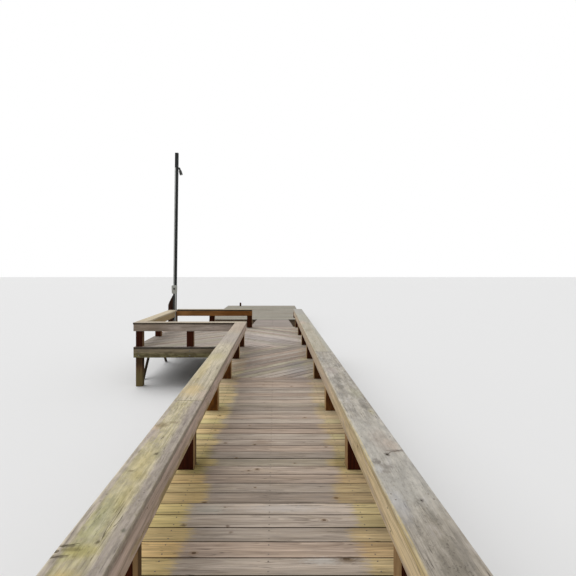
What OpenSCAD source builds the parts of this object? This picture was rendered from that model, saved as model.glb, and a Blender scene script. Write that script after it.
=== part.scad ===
// Wooden lake jetty: a railed walkway with a side platform, a ramp and a lower end dock.
// Millimetres. The walkway runs along +Y from the shore end, +Z is up.
// The origin is the middle of the whole jetty in plan, at the level of the posts' feet.

/* [Walkway] */
// Distance from one row of posts to the next
bay = 1524; // [1400:1:1650]
// Number of bays from the shore end to the lake end
bays = 8; // [7:1:9]
// Number of bays, from the shore, that have straight boards
straight_bays = 4; // [2:1:5]
// Width over the outer faces of the posts
walkway_w = 1500; // [1400:1:1700]
// Height of the deck's top over the posts' feet
deck_h = 830; // [760:1:1200]

/* [Lumber] */
// Side of a square post
post = 140; // [120:1:160]
// Thickness of every board
board_t = 38; // [32:1:45]
// Depth of a joist, a rim joist or a cross beam
joist_d = 184; // [160:1:200]
// Room round a post where the deck is notched for it
notch_gap = 3; // [1:0.5:6]

/* [Rails] */
// Height of a rail's top over the deck
rail_h = 508; // [450:1:900]
// Width of the flat board on top of a rail
cap_w = 235; // [220:1:260]
// Depth of the boards on the two sides of a rail
fascia_d = 140; // [120:1:160]
// Gap where two top boards meet end to end
cap_gap = 3; // [1:0.5:6]
// Length of the right rail's first top board, from the shore
right_cap_1 = 5488; // [4000:1:6000]
// Length of the right rail's second top board
right_cap_2 = 3660; // [3000:1:4800]
// Row of posts, from the shore, over which the left rail's first top board ends
left_cap_row_1 = 2; // [1:1:3]
// Distance past that row's middle at which the board ends, still over the post
left_cap_past = 60; // [-60:1:60]
// Row of posts over which its second top board ends
left_cap_row_2 = 5; // [4:1:5]
// Distance that the side rail's inner board stops short of the mast
side_fascia_stop = 250; // [60:1:400]

/* [Platform] */
// Distance between the near and the far row of the platform's posts
platform_depth = 3272; // [3000:1:3600]
// Distance from one post of a platform row to the next
platform_step = 1062; // [950:1:1200]
// Distance from the near row to the row in the platform's middle
side_post_step = 1524; // [1400:1:1650]
// Distance that the side rail's middle post hangs below the deck
hung_post_drop = 450; // [420:1:500]

/* [Braces] */
// Width of a diagonal brace, measured along the level cut at its foot
brace_cut = 110; // [90:1:140]
// Distance from the near corner post to the foot of its brace
brace_near_gap = 400; // [200:1:430]
// Distance from the middle post to the top of the far brace
brace_far_gap = 375; // [200:1:600]

/* [Ramp] */
// Length of the ramp, measured level
ramp_run = 4740; // [4200:1:5200]
// Height that the ramp comes down
ramp_drop = 290; // [150:1:300]
// Width of the ramp
ramp_w = 1235; // [1000:1:1300]
// Sideways place of the ramp's middle from the walkway's middle
ramp_x = -54; // [-100:1:100]
// Depth of the ramp's stringers
stringer_d = 235; // [184:1:250]

/* [Lower dock] */
// Length of the lower dock along the walkway
dock_l = 7260; // [6500:1:8000]
// Width of the lower dock
dock_w = 3660; // [3300:1:4000]
// Distance from the walkway's middle to the dock's right edge
dock_right = 1126; // [950:1:1300]
// Depth of the dock's rim and joists
dock_joist_d = 235; // [184:1:240]
// Number of bays between the rows of posts under the dock
dock_bays = 3; // [2:1:4]
// Number of joists between the dock's two sides
dock_joists = 5; // [3:1:7]

/* [Mooring posts] */
// Side of a mooring post
mooring_side = 89; // [70:1:110]
// Height of the near mooring post
mooring_near_h = 235; // [180:1:300]
// Height of the far mooring post
mooring_far_h = 190; // [150:1:300]
// Distance from the dock's right edge to the near mooring post's middle
mooring_near_in = 300; // [100:1:500]
// Distance from the dock's near edge to the near mooring post's middle
mooring_near_back = 660; // [200:1:900]
// Distance from the dock's left edge to the far mooring post's middle
mooring_far_in = 700; // [200:1:900]
// Distance from the dock's far edge to the far mooring post's middle
mooring_far_back = 400; // [200:1:900]

/* [Mast] */
// Side of the square mast
mast_side = 89; // [80:1:100]
// Height of the mast over the platform's deck
mast_h = 4900; // [4500:1:5300]
// Sideways lean of the mast over its whole height
mast_lean = 66; // [0:1:80]
// Distance from the corner post's outer face to the mast's left face at its foot
mast_in = 48; // [40:1:90]
// Diameter of the round pile beside the corner
pile_d = 178; // [150:1:200]
// Distance from the corner post's outer face out to the pile's middle
pile_out = 70; // [20:1:80]
// Height of the pile's low side over the deck
pile_low_h = 600; // [540:1:700]
// Height of the pile's high side over the deck
pile_high_h = 960; // [760:1:1000]

/* [Electrical fittings] */
// Diameter of the conduits on the mast
conduit_d = 27; // [20:1:32]
// Width of the switch box
box_w = 150; // [110:1:170]
// Height of the switch box
box_h = 230; // [180:1:260]
// Depth of the switch box
box_t = 90; // [60:1:110]
// Height of the switch box's bottom over the deck
box_z = 960; // [700:1:1200]
// Distance from the mast's top down to the lamp's pivot
lamp_drop = 430; // [300:1:900]
// Angle of the lamp from straight down
lamp_tilt = 16; // [10:1:60]
// Length of the lamp from its pivot to its mouth
lamp_l = 190; // [160:1:240]
// Diameter of the lamp at its mouth
lamp_d = 84; // [76:1:120]
// Distance from the lamp's pivot to its shoulder, where it is at its widest slope
lamp_shoulder = 62; // [60:1:80]
// Side of the lamp's bracket
bracket_side = 60; // [40:1:70]
// Reach of the lamp's bracket from the mast
bracket_reach = 12; // [8:1:60]

/* [Fits] */
// Running gap between round or slanted pieces and what they are fixed to
fit = 0.3; // [0.2:0.1:0.6]
// Clearance that a board's cut end leaves round the mast
cut_gap = 2; // [1:0.5:5]

/* [Hidden] */
$fn = 48;

// Heights, with zero at the top of the walkway's deck
foot_z = -deck_h;
joist_top = -board_t;
joist_bottom = joist_top - joist_d;
beam_bottom = joist_bottom - joist_d;
brace_rise = joist_bottom - foot_z;
post_top = rail_h - board_t;
fascia_bottom = post_top - fascia_d;

// Distances across the walkway, from its middle
post_x = walkway_w / 2 - post / 2;
post_in = walkway_w / 2 - post;
post_out = walkway_w / 2;
edge_x = post_out + board_t;

// Distances along the walkway, from its shore end
first_row = board_t + post / 2;
function row_y(i) = first_row + i * bay;
far_y = row_y(bays);
near_y = far_y - platform_depth;
middle_y = near_y + side_post_step;
end_y = far_y + post / 2 + board_t;
near_edge_y = near_y - post / 2 - board_t;
mitre_y = row_y(straight_bays);

// The platform's post lines and its outer edges
platform_post_x = -post_x - 2 * platform_step;
platform_out = platform_post_x - post / 2;
platform_edge = platform_out - board_t;

// The lower dock
dock_top = -ramp_drop;
dock_under = dock_top - board_t;
dock_joist_bottom = dock_under - dock_joist_d;
dock_y0 = end_y + ramp_run;
dock_y1 = dock_y0 + dock_l;
dock_left = dock_right - dock_w;
dock_first_row = dock_y0 + board_t + post / 2;
dock_row_step = (dock_l - 2 * board_t - post) / dock_bays;
function dock_row_y(i) = dock_first_row + i * dock_row_step;

// The mast stands on the deck against the near face of the platform's far corner post
mast_x = platform_out + mast_in + mast_side / 2;
mast_far = far_y - post / 2;
mast_near = mast_far - mast_side;
lean_slope = mast_lean / mast_h;
function mast_mid(z) = mast_x + lean_slope * z;
function mast_right(z) = mast_mid(z) + mast_side / 2;
conduit_y = mast_near - fit - conduit_d / 2;
low_conduit_x = mast_x + mast_side / 2 - 16;
high_conduit_x = mast_x - mast_side / 2 + 22;
cap_stop_y = mast_near - fit - conduit_d - cut_gap;

// The round pile stands against the rim's corner, so its distance depends on how far out it is
pile_x = platform_out - pile_out;
pile_reach = pile_d / 2 + fit;
pile_past_rim = max(0, pile_out - board_t);
pile_y = end_y + sqrt(pile_reach * pile_reach - pile_past_rim * pile_past_rim);

// The lamp
lamp_z = mast_h - lamp_drop;
knuckle_r = 22;
knuckle_l = 44;
neck_r = 20;
neck_top = 10;
neck_end = lamp_shoulder - 20;
shoulder_r = lamp_d / 2 - 9;
skirt_l = 60;
bracket_top = lamp_z + bracket_side / 2;
lamp_x = mast_right(bracket_top) + bracket_reach + fit + knuckle_r;
lamp_y = (mast_near + mast_far) / 2;
lens_t = 6;
lens_recess = 10;
lamp_wall = 5;

// The whole jetty's reach, which sets the origin
low_x = min(pile_x - pile_d / 2, platform_post_x - cap_w / 2, dock_left);
high_x = max(dock_right, post_x + cap_w / 2);
mid_x = (low_x + high_x) / 2;
mid_y = dock_y1 / 2;

// Puts a piece from the walkway's own lines into the jetty's frame
module place() {
    translate([-mid_x, -mid_y, deck_h]) children();
}

// A sawn piece between two opposite corners
module timber(low, high) {
    translate(low) cube(high - low);
}

// A post of the walkway's section, on its middle, from the water up unless told otherwise
module square_post(x, y, top, bottom = foot_z) {
    timber([x - post / 2, y - post / 2, bottom], [x + post / 2, y + post / 2, top]);
}

// Two boards on the near and the far face of a row of posts
module row_pair(x0, x1, y, z0, z1) {
    for (side = [-1, 1]) {
        face = y + side * (post / 2 + board_t / 2);
        timber([x0, face - board_t / 2, z0], [x1, face + board_t / 2, z1]);
    }
}

// The notch that a deck leaves for a post, cut right through the boards
module notch(x, y) {
    half = post / 2 + notch_gap;
    timber([x - half, y - half, joist_bottom], [x + half, y + half, rail_h]);
}

// A piece whose outline lies in the plane of the walkway's length and height
module side_profile(x0, x1, points) {
    translate([x0, 0, 0])
        rotate([90, 0, 90])
            linear_extrude(x1 - x0) polygon(points);
}

// Whether a row has a walkway post on the left
function has_left_post(i) = row_y(i) < near_y - bay / 2;

module left_posts() {
    color("#5b3f2a") place()
        for (i = [0 : bays])
            if (has_left_post(i)) square_post(-post_x, row_y(i), post_top);
}

module right_posts() {
    color("#5b3f2a") place()
        for (i = [0 : bays]) square_post(post_x, row_y(i), post_top);
}

// Posts that only hold the rail are short: the near row's middle post ends with the rim, and the
// side's middle post just below its beams. Where people step across, the middle row has a short
// post below the deck.
module platform_posts() {
    color("#4a3020") place() {
        for (i = [0 : 2]) {
            x = -post_x - i * platform_step;
            square_post(x, near_y, post_top, i == 1 ? joist_bottom : foot_z);
            square_post(x, far_y, post_top);
        }
        square_post(platform_post_x, middle_y, post_top, -hung_post_drop);
        square_post(-post_x, middle_y, joist_top);
    }
}

// Rows beside the platform have no left post, so their beams stop at the inner joist
module walkway_cross_beams() {
    color("#6b5d4a") place()
        for (i = [0 : bays - 1])
            row_pair(has_left_post(i) ? -edge_x : -post_in, edge_x, row_y(i),
                beam_bottom, joist_bottom);
}

// The near row's rim is bolted to its posts, so only the middle row has beams of its own
module platform_cross_beams() {
    color("#6b5d4a") place()
        row_pair(platform_edge, -post_in, middle_y, beam_bottom, joist_bottom);
}

module end_cross_beams() {
    color("#6b5d4a") place()
        row_pair(platform_edge, edge_x, far_y, beam_bottom, joist_bottom);
}

module rim_joist(side) {
    x = side * (post_out + board_t / 2);
    timber([x - board_t / 2, board_t, joist_bottom],
        [x + board_t / 2, end_y - board_t, joist_top]);
}

module left_rim_joist() {
    color("#6b5d4a") place() rim_joist(-1);
}

module right_rim_joist() {
    color("#6b5d4a") place() rim_joist(1);
}

module shore_header() {
    color("#6b5d4a") place()
        timber([-edge_x, 0, joist_bottom], [edge_x, board_t, joist_top]);
}

module walkway_joists() {
    side = post_in - board_t / 2;
    color("#6b5d4a") place()
        for (x = [-side, 0, side])
            timber([x - board_t / 2, board_t, joist_bottom],
                [x + board_t / 2, end_y - board_t, joist_top]);
}

module platform_near_rim() {
    color("#5f5846") place()
        timber([platform_edge, near_edge_y, joist_bottom],
            [-edge_x, near_edge_y + board_t, joist_top]);
}

module platform_side_rim() {
    color("#5f5846") place()
        timber([platform_edge, near_edge_y + board_t, joist_bottom],
            [platform_out, end_y - board_t, joist_top]);
}

module far_rim() {
    color("#5f5846") place()
        timber([platform_edge, end_y - board_t, joist_bottom], [edge_x, end_y, joist_top]);
}

// One joist beside each post line and one in the middle of each gap
module platform_joists() {
    beside = post / 2 + board_t / 2;
    middle_line = -post_x - platform_step;
    places = [platform_post_x + beside, (platform_post_x + middle_line) / 2,
        middle_line - beside, middle_line + beside, (middle_line - post_x) / 2];
    color("#6b5d4a") place()
        for (x = places)
            timber([x - board_t / 2, near_edge_y + board_t, joist_bottom],
                [x + board_t / 2, end_y - board_t, joist_top]);
}

module straight_deck() {
    color("#a69c8c") place() difference() {
        timber([-edge_x, 0, -board_t], [edge_x, mitre_y, 0]);
        for (i = [0 : straight_bays])
            for (side = [-1, 1]) notch(side * post_x, row_y(i));
    }
}

module diagonal_deck() {
    color("#a39a90") place() difference() {
        timber([-edge_x, mitre_y, -board_t], [edge_x, end_y, 0]);
        for (i = [straight_bays : bays]) {
            notch(post_x, row_y(i));
            if (has_left_post(i)) notch(-post_x, row_y(i));
        }
        for (y = [near_y, far_y]) notch(-post_x, y);
    }
}

module platform_deck() {
    color("#a39a90") place() difference() {
        timber([platform_edge, near_edge_y, -board_t], [-edge_x, end_y, 0]);
        for (y = [near_y, far_y])
            for (i = [1 : 2]) notch(-post_x - i * platform_step, y);
        notch(platform_post_x, middle_y);
    }
}

// One top board of a rail that runs along the walkway
module cap_along(x, y0, y1) {
    timber([x - cap_w / 2, y0, post_top], [x + cap_w / 2, y1, rail_h]);
}

// One top board of a rail that runs across
module cap_across(x0, x1, y) {
    timber([x0, y - cap_w / 2, post_top], [x1, y + cap_w / 2, rail_h]);
}

// A side board of a rail that runs along the walkway
module fascia_along(x0, y0, y1) {
    timber([x0, y0, fascia_bottom], [x0 + board_t, y1, post_top]);
}

// A side board of a rail that runs across
module fascia_across(x0, x1, y0) {
    timber([x0, y0, fascia_bottom], [x1, y0 + board_t, post_top]);
}

// The left rail's top boards meet over the posts of two rows
module left_rail_cap() {
    joint_1 = row_y(left_cap_row_1) + left_cap_past;
    joint_2 = row_y(left_cap_row_2);
    color("#b9b092") place() {
        cap_along(-post_x, 0, joint_1);
        cap_along(-post_x, joint_1 + cap_gap, joint_2);
        cap_along(-post_x, joint_2 + cap_gap, near_y - cap_w / 2);
    }
}

module left_rail_fascias() {
    color("#8c8275") place() {
        fascia_along(-post_in, 0, near_y + post / 2 + board_t);
        fascia_along(-post_out - board_t, 0, near_edge_y);
    }
}

module right_rail_cap() {
    joint_1 = right_cap_1;
    joint_2 = joint_1 + cap_gap + right_cap_2;
    color("#a8a29a") place() {
        cap_along(post_x, 0, joint_1);
        cap_along(post_x, joint_1 + cap_gap, joint_2);
        cap_along(post_x, joint_2 + cap_gap, end_y);
    }
}

module right_rail_fascias() {
    color("#8c8275") place() {
        fascia_along(post_in - board_t, 0, end_y);
        fascia_along(post_out, 0, end_y);
    }
}

module near_rail_cap() {
    color("#b0a890") place()
        cap_across(platform_post_x - cap_w / 2, -post_x + cap_w / 2, near_y);
}

module near_rail_fascias() {
    color("#7d756e") place() {
        fascia_across(platform_edge, -post_out, near_edge_y);
        fascia_across(platform_out, -post_in, near_y + post / 2);
    }
}

module side_rail_cap() {
    color("#b9b092") place()
        cap_along(platform_post_x, near_y + cap_w / 2, cap_stop_y);
}

module side_rail_fascias() {
    inner_x = platform_post_x + post / 2;
    color("#8c7f6c") place() {
        fascia_along(inner_x, near_y + post / 2 + board_t, mast_near - side_fascia_stop);
        fascia_along(platform_edge, near_edge_y + board_t, end_y - board_t);
    }
}

// The far rail's top board is cut off level with the face of the walkway's corner post
module far_rail_cap() {
    color("#b0a890") place()
        cap_across(mast_right(rail_h) + cut_gap, -post_in, far_y);
}

module far_rail_fascias() {
    color("#6f4a2b") place() {
        fascia_across(mast_right(rail_h) + cut_gap, -post_in, mast_far - board_t);
        fascia_across(platform_edge, -post_in, far_y + post / 2);
    }
}

// Knee braces that butt against the underside of the side rim, in its plane, and are cut level
// where they meet the water
module side_brace(foot_y, top_y) {
    side_profile(platform_edge, platform_out, [[foot_y, foot_z], [foot_y + brace_cut, foot_z],
        [top_y + brace_cut, joist_bottom], [top_y, joist_bottom]]);
}

module side_braces() {
    near_foot = near_y + post / 2 + brace_near_gap;
    far_top = middle_y + post / 2 + brace_far_gap;
    color("#4a3c28") place() {
        side_brace(near_foot, near_foot + brace_rise);
        side_brace(far_top + brace_rise, far_top);
    }
}

// A layer of the ramp, with its two ends cut plumb
module ramp_layer(x0, x1, top, depth) {
    side_profile(x0, x1, [[end_y, top], [dock_y0, top - ramp_drop],
        [dock_y0, top - ramp_drop - depth], [end_y, top - depth]]);
}

module ramp_deck() {
    color("#9b938e") place()
        ramp_layer(ramp_x - ramp_w / 2, ramp_x + ramp_w / 2, 0, board_t);
}

module ramp_stringers() {
    side = ramp_w / 2 - board_t / 2;
    color("#6b5d4a") place()
        for (x = [-side, 0, side])
            ramp_layer(ramp_x + x - board_t / 2, ramp_x + x + board_t / 2,
                -board_t, stringer_d);
}

module dock_post_row(x) {
    for (i = [0 : dock_bays]) square_post(x, dock_row_y(i), dock_under);
}

module dock_left_posts() {
    color("#5b3f2a") place() dock_post_row(dock_left + board_t + post / 2);
}

module dock_right_posts() {
    color("#5b3f2a") place() dock_post_row(dock_right - board_t - post / 2);
}

module dock_cross_beams() {
    color("#5a4c3a") place()
        for (i = [0 : dock_bays])
            row_pair(dock_left, dock_right, dock_row_y(i),
                dock_joist_bottom - joist_d, dock_joist_bottom);
}

module dock_end_rims() {
    color("#6b5d4a") place()
        for (y = [dock_y0, dock_y1 - board_t])
            timber([dock_left, y, dock_joist_bottom], [dock_right, y + board_t, dock_under]);
}

module dock_side_rims() {
    color("#6b5d4a") place()
        for (x = [dock_left, dock_right - board_t])
            timber([x, dock_y0 + board_t, dock_joist_bottom],
                [x + board_t, dock_y1 - board_t, dock_under]);
}

module dock_joists() {
    color("#6b5d4a") place()
        for (i = [1 : dock_joists]) {
            x = dock_left + i * dock_w / (dock_joists + 1);
            timber([x - board_t / 2, dock_y0 + board_t, dock_joist_bottom],
                [x + board_t / 2, dock_y1 - board_t, dock_under]);
        }
}

module dock_deck() {
    color("#a09a90") place()
        timber([dock_left, dock_y0, dock_under], [dock_right, dock_y1, dock_top]);
}

module mooring_post(x, y, h) {
    half = mooring_side / 2;
    timber([x - half, y - half, dock_top], [x + half, y + half, dock_top + h]);
}

module mooring_posts() {
    color("#453c32") place() {
        mooring_post(dock_right - mooring_near_in, dock_y0 + mooring_near_back, mooring_near_h);
        mooring_post(dock_left + mooring_far_in, dock_y1 - mooring_far_back, mooring_far_h);
    }
}

// The mast leans, but its ends are level and its near and far faces are plumb
module mast() {
    half = mast_side / 2;
    color("#3d3832") place()
        translate([0, mast_far, 0]) rotate([90, 0, 0])
            linear_extrude(mast_side)
                polygon([[mast_x - half, 0], [mast_x + half, 0],
                    [mast_mid(mast_h) + half, mast_h], [mast_mid(mast_h) - half, mast_h]]);
}

// A round pile outside the corner, with its top cut on a slant that rises to the mast
module mast_pile() {
    r = pile_d / 2;
    color("#43281e") place() difference() {
        translate([pile_x, pile_y, foot_z]) cylinder(h = pile_high_h - foot_z, r = r);
        translate([0, pile_y + pile_d, 0]) rotate([90, 0, 0])
            linear_extrude(2 * pile_d)
                polygon([[pile_x - r, pile_low_h], [pile_x + r, pile_high_h],
                    [pile_x + r, pile_high_h + r], [pile_x - r - 1, pile_high_h + r],
                    [pile_x - r - 1, pile_low_h]]);
    }
}

// A conduit that follows the mast's lean, from one height to another
module conduit(x, z0, z1) {
    lean = atan(lean_slope);
    translate([x + lean_slope * z0, conduit_y, z0 + fit])
        rotate([0, lean, 0]) cylinder(h = (z1 - z0) / cos(lean) - 2 * fit, d = conduit_d);
}

module conduits() {
    color("#9a9c9a") place() {
        conduit(low_conduit_x, 0, box_z);
        conduit(high_conduit_x, box_z + box_h, lamp_z);
    }
}

module switch_box() {
    x = mast_mid(box_z + box_h / 2);
    color("#8f918c") place()
        timber([x - box_w / 2, mast_near - box_t, box_z], [x + box_w / 2, mast_near, box_z + box_h]);
}

module lamp_bracket() {
    half = bracket_side / 2;
    x0 = mast_right(bracket_top);
    color("#2f3132") place()
        timber([x0, lamp_y - half, lamp_z - half], [x0 + bracket_reach, lamp_y + half, bracket_top]);
}

// The lamp's own frame has its pivot at the origin and its mouth on the way down
module lamp_frame() {
    translate([lamp_x, lamp_y, lamp_z]) rotate([0, -lamp_tilt, 0]) children();
}

module lamp_housing() {
    mouth_r = lamp_d / 2;
    bore_r = mouth_r - lamp_wall;
    recess_z = -lamp_l + lens_recess;
    color("#2f3132") place() lamp_frame() {
        rotate([90, 0, 0]) cylinder(h = knuckle_l, r = knuckle_r, center = true);
        rotate_extrude()
            polygon([[0, -neck_top], [neck_r, -neck_top], [neck_r, -neck_end],
                [shoulder_r, -lamp_shoulder], [mouth_r, -lamp_l + skirt_l],
                [mouth_r, -lamp_l], [bore_r, -lamp_l], [bore_r, recess_z], [0, recess_z]]);
    }
}

module lamp_lens() {
    color("#d8dcd8") place() lamp_frame()
        translate([0, 0, -lamp_l + lens_recess - lens_t])
            cylinder(h = lens_t, r = lamp_d / 2 - lamp_wall - fit);
}

left_posts();
right_posts();
platform_posts();
walkway_cross_beams();
platform_cross_beams();
end_cross_beams();
left_rim_joist();
right_rim_joist();
shore_header();
walkway_joists();
platform_near_rim();
platform_side_rim();
far_rim();
platform_joists();
straight_deck();
diagonal_deck();
platform_deck();
left_rail_cap();
left_rail_fascias();
right_rail_cap();
right_rail_fascias();
near_rail_cap();
near_rail_fascias();
side_rail_cap();
side_rail_fascias();
far_rail_cap();
far_rail_fascias();
side_braces();
ramp_deck();
ramp_stringers();
dock_left_posts();
dock_right_posts();
dock_cross_beams();
dock_end_rims();
dock_side_rims();
dock_joists();
dock_deck();
mooring_posts();
mast();
mast_pile();
conduits();
switch_box();
lamp_bracket();
lamp_housing();
lamp_lens();
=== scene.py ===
# %% [markdown]
# # A wooden jetty in Blender
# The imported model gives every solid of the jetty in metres: posts, beams, joists, a slab for each
# deck and a bar for each rail board. This notebook turns those plain solids into weathered timber:
# separate boards with gaps, knots, nails and split ends, bolts through the beams, and the light on
# its mast. Nothing is moved. Each new piece takes its place from the solid it stands for.

# %% Load the frame
import math
import random

import bpy
from mathutils import Matrix, Vector


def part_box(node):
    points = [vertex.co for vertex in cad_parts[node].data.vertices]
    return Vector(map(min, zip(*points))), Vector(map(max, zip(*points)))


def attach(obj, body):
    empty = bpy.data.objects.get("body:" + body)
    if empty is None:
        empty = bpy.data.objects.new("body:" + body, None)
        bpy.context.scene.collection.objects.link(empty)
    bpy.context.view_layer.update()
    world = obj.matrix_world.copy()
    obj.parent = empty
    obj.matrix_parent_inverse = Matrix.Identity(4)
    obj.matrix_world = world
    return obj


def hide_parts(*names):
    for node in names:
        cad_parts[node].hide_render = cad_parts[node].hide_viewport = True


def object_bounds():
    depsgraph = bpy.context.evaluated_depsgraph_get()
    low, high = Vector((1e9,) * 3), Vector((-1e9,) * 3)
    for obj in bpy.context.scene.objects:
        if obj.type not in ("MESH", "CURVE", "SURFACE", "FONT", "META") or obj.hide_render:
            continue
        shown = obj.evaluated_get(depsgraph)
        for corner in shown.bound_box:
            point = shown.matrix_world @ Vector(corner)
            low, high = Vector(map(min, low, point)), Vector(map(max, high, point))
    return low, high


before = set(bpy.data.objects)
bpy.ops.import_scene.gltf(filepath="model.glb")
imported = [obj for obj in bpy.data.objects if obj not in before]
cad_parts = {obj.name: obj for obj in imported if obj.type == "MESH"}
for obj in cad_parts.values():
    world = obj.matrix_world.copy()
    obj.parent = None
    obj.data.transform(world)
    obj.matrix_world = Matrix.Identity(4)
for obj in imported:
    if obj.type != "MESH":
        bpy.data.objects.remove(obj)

cad_low, cad_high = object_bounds()
print("the jetty's box", [round(v, 3) for v in cad_low], [round(v, 3) for v in cad_high])

# %% [markdown]
# ## The jetty's own lines
# A carpenter sets out a jetty from a few lines: the walkway's middle, the rows of posts, the top
# of the deck. They could be typed in again here, but then a change to the model would leave the
# boards behind. So they are read from the solids' boxes.

# %% Setting out
deck_low, deck_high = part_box("straight_deck")
right_post_low, right_post_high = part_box("right_posts")

BOARD = deck_high.z - deck_low.z
POST = right_post_high.x - right_post_low.x
DECK = deck_high.z
RAIL_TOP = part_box("right_rail_cap")[1].z - DECK
MIDDLE = (deck_low.x + deck_high.x) / 2
NEAR_END = deck_low.y
BAYS = 8
FIRST_ROW = right_post_low.y + POST / 2
BAY = (right_post_high.y - right_post_low.y - POST) / BAYS
print(f"board {BOARD:.3f}, post {POST:.3f}, deck top {DECK:.3f}, rail {RAIL_TOP:.3f} above it")
print(f"bay {BAY:.3f}, middle {MIDDLE:.4f}")


def on_jetty(x, y, z=0.0):
    """A place given from the walkway's middle, its near end and its deck, put in the frame."""
    return Vector((MIDDLE + x, NEAR_END + y, DECK + z))


# %% [markdown]
# ## The camera
# The photo looks level along the walkway from its near end, with the eye 1.56 m over the deck.
# Lines that run away from the camera meet a little left of the picture's middle and above it,
# which a level camera with a small lens shift gives. Turning it would make the posts lean.

# %% Camera
EYE = (0.036, -0.492, 1.563)
LENS = 28.25
SHIFT = (0.0226, -0.0278)

camera_data = bpy.data.cameras.new("shore_camera")
camera = bpy.data.objects.new("shore_camera", camera_data)
bpy.context.scene.collection.objects.link(camera)
camera.location = on_jetty(*EYE)
camera.rotation_euler = (math.radians(90), 0, 0)
camera_data.sensor_width = 36
camera_data.lens = LENS
camera_data.shift_x, camera_data.shift_y = SHIFT
camera_data.clip_start, camera_data.clip_end = 0.02, 400
bpy.context.scene.camera = camera
bpy.context.scene.view_settings.view_transform = "Standard"
print("camera at", [round(v, 3) for v in camera.location])

# %% [markdown]
# ## Picking by place
# Blender's operators act on whatever is selected, so each step first selects one piece and nothing
# else. In edit mode, faces and edges are picked by where they are or which way they face, as a
# hand does with the mouse.


# %% Picking
def only(piece):
    """Selects one piece and makes it the active one."""
    bpy.ops.object.select_all(action="DESELECT")
    piece.select_set(True)
    bpy.context.view_layer.objects.active = piece


def pick(piece, kind, chosen):
    """Goes into edit mode with just the chosen parts selected. Chosen looks at one part."""
    only(piece)
    bpy.ops.object.mode_set(mode="EDIT")
    bpy.ops.mesh.select_mode(type=kind)
    bpy.ops.mesh.select_all(action="DESELECT")
    bpy.ops.object.mode_set(mode="OBJECT")
    mesh = piece.data
    for part in {"VERT": mesh.vertices, "EDGE": mesh.edges, "FACE": mesh.polygons}[kind]:
        part.select = bool(chosen(part))
    bpy.ops.object.mode_set(mode="EDIT")


def pick_all(piece):
    """Goes into edit mode with everything selected."""
    only(piece)
    bpy.ops.object.mode_set(mode="EDIT")
    bpy.ops.mesh.select_all(action="SELECT")


def done():
    """Leaves edit mode."""
    bpy.ops.object.mode_set(mode="OBJECT")


def edge_run(piece, edge):
    """The vector from one end of an edge to the other."""
    first, last = edge.vertices
    return piece.data.vertices[last].co - piece.data.vertices[first].co


# %% [markdown]
# ## Starting and shaping
# Most parts start as a cube or a cylinder at their own size. Then come the saw and the plane: a
# bisect cuts round the piece, a bevel takes its edges off, and a modifier that is applied at once
# leaves a plain mesh. A finished piece keeps its place in its mesh, so its object stays at the
# origin.


# %% Starting and shaping
def settle(piece):
    """Puts the piece's place, turn and scale into its mesh."""
    only(piece)
    bpy.ops.object.transform_apply(location=True, rotation=True, scale=True)
    return piece


def cube(size, centre=(0, 0, 0)):
    """A new block of this size."""
    bpy.ops.object.select_all(action="DESELECT")
    bpy.ops.mesh.primitive_cube_add(size=1, location=centre, scale=size)
    return settle(bpy.context.object)


def cylinder(sides, radius, height, centre=(0, 0, 0), ends="NGON"):
    """A new upright cylinder."""
    bpy.ops.object.select_all(action="DESELECT")
    bpy.ops.mesh.primitive_cylinder_add(vertices=sides, radius=radius, depth=height,
                                        location=centre, end_fill_type=ends)
    return settle(bpy.context.object)


def round_edges(piece, chosen, reach, steps, kind="EDGE"):
    """Bevels the chosen edges, or the edges round the chosen faces."""
    pick(piece, kind, chosen)
    bpy.ops.mesh.bevel(offset=reach, segments=steps, affect="EDGES")
    done()


def cut_through(piece, point, direction, drop=False):
    """Cuts round the piece. With drop, the side that the direction points to falls off."""
    pick_all(piece)
    bpy.ops.mesh.bisect(plane_co=point, plane_no=direction, use_fill=drop, clear_outer=drop)
    done()
    return piece


def apply(piece, kind, **settings):
    """Adds a modifier with these settings and applies it."""
    only(piece)
    modifier = piece.modifiers.new(kind.lower(), kind)
    for name, value in settings.items():
        setattr(modifier, name, value)
    bpy.ops.object.modifier_apply(modifier=modifier.name)


def cut_out(piece, cutter):
    """Takes the cutter's shape out of the piece with a Boolean, and removes the cutter."""
    apply(piece, "BOOLEAN", object=cutter, operation="DIFFERENCE", solver="EXACT")
    bin_it(cutter)


# %% [markdown]
# ## Copying and finishing
# What repeats is modelled once and copied, each copy with its own mesh. Boards that belong
# together are joined into one piece, which gets its material and is handed to the frame.


# %% Copying and finishing
def copy_of(piece):
    """A copy of a piece with its own mesh."""
    twin = piece.copy()
    twin.data = piece.data.copy()
    bpy.context.scene.collection.objects.link(twin)
    return twin


def bin_it(piece):
    """Removes a piece that was only a pattern or a cutter."""
    mesh = piece.data
    bpy.data.objects.remove(piece)
    bpy.data.meshes.remove(mesh)


def join_as(name, pieces):
    """Joins pieces into one with this name."""
    only(pieces[0])
    for piece in pieces:
        piece.select_set(True)
    if len(pieces) > 1:
        bpy.ops.object.join()
    joined = bpy.context.view_layer.objects.active
    joined.name = joined.data.name = name
    return joined


def finish_piece(piece, finish, replaced=()):
    """Gives a finished piece its material and smooth edges, and hands it to the frame."""
    only(piece)
    bpy.ops.object.shade_smooth_by_angle(angle=math.radians(35))
    piece.data.materials.clear()
    piece.data.materials.append(finish)
    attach(piece, "root")
    if replaced:
        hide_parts(*replaced)
    print(piece.name, len(piece.data.polygons), "faces")


# %% [markdown]
# ## What a board remembers
# The grain of a board runs along it, whichever way the board lies, and no two boards are alike.
# A pattern that is read from the object's own space can't know that once two hundred boards are
# joined into one piece. So each board keeps three notes on its points: where a point lies along,
# across and down the board; two numbers drawn for this board and its half length; and the place
# and size of one knot. The materials read these notes.


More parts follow.
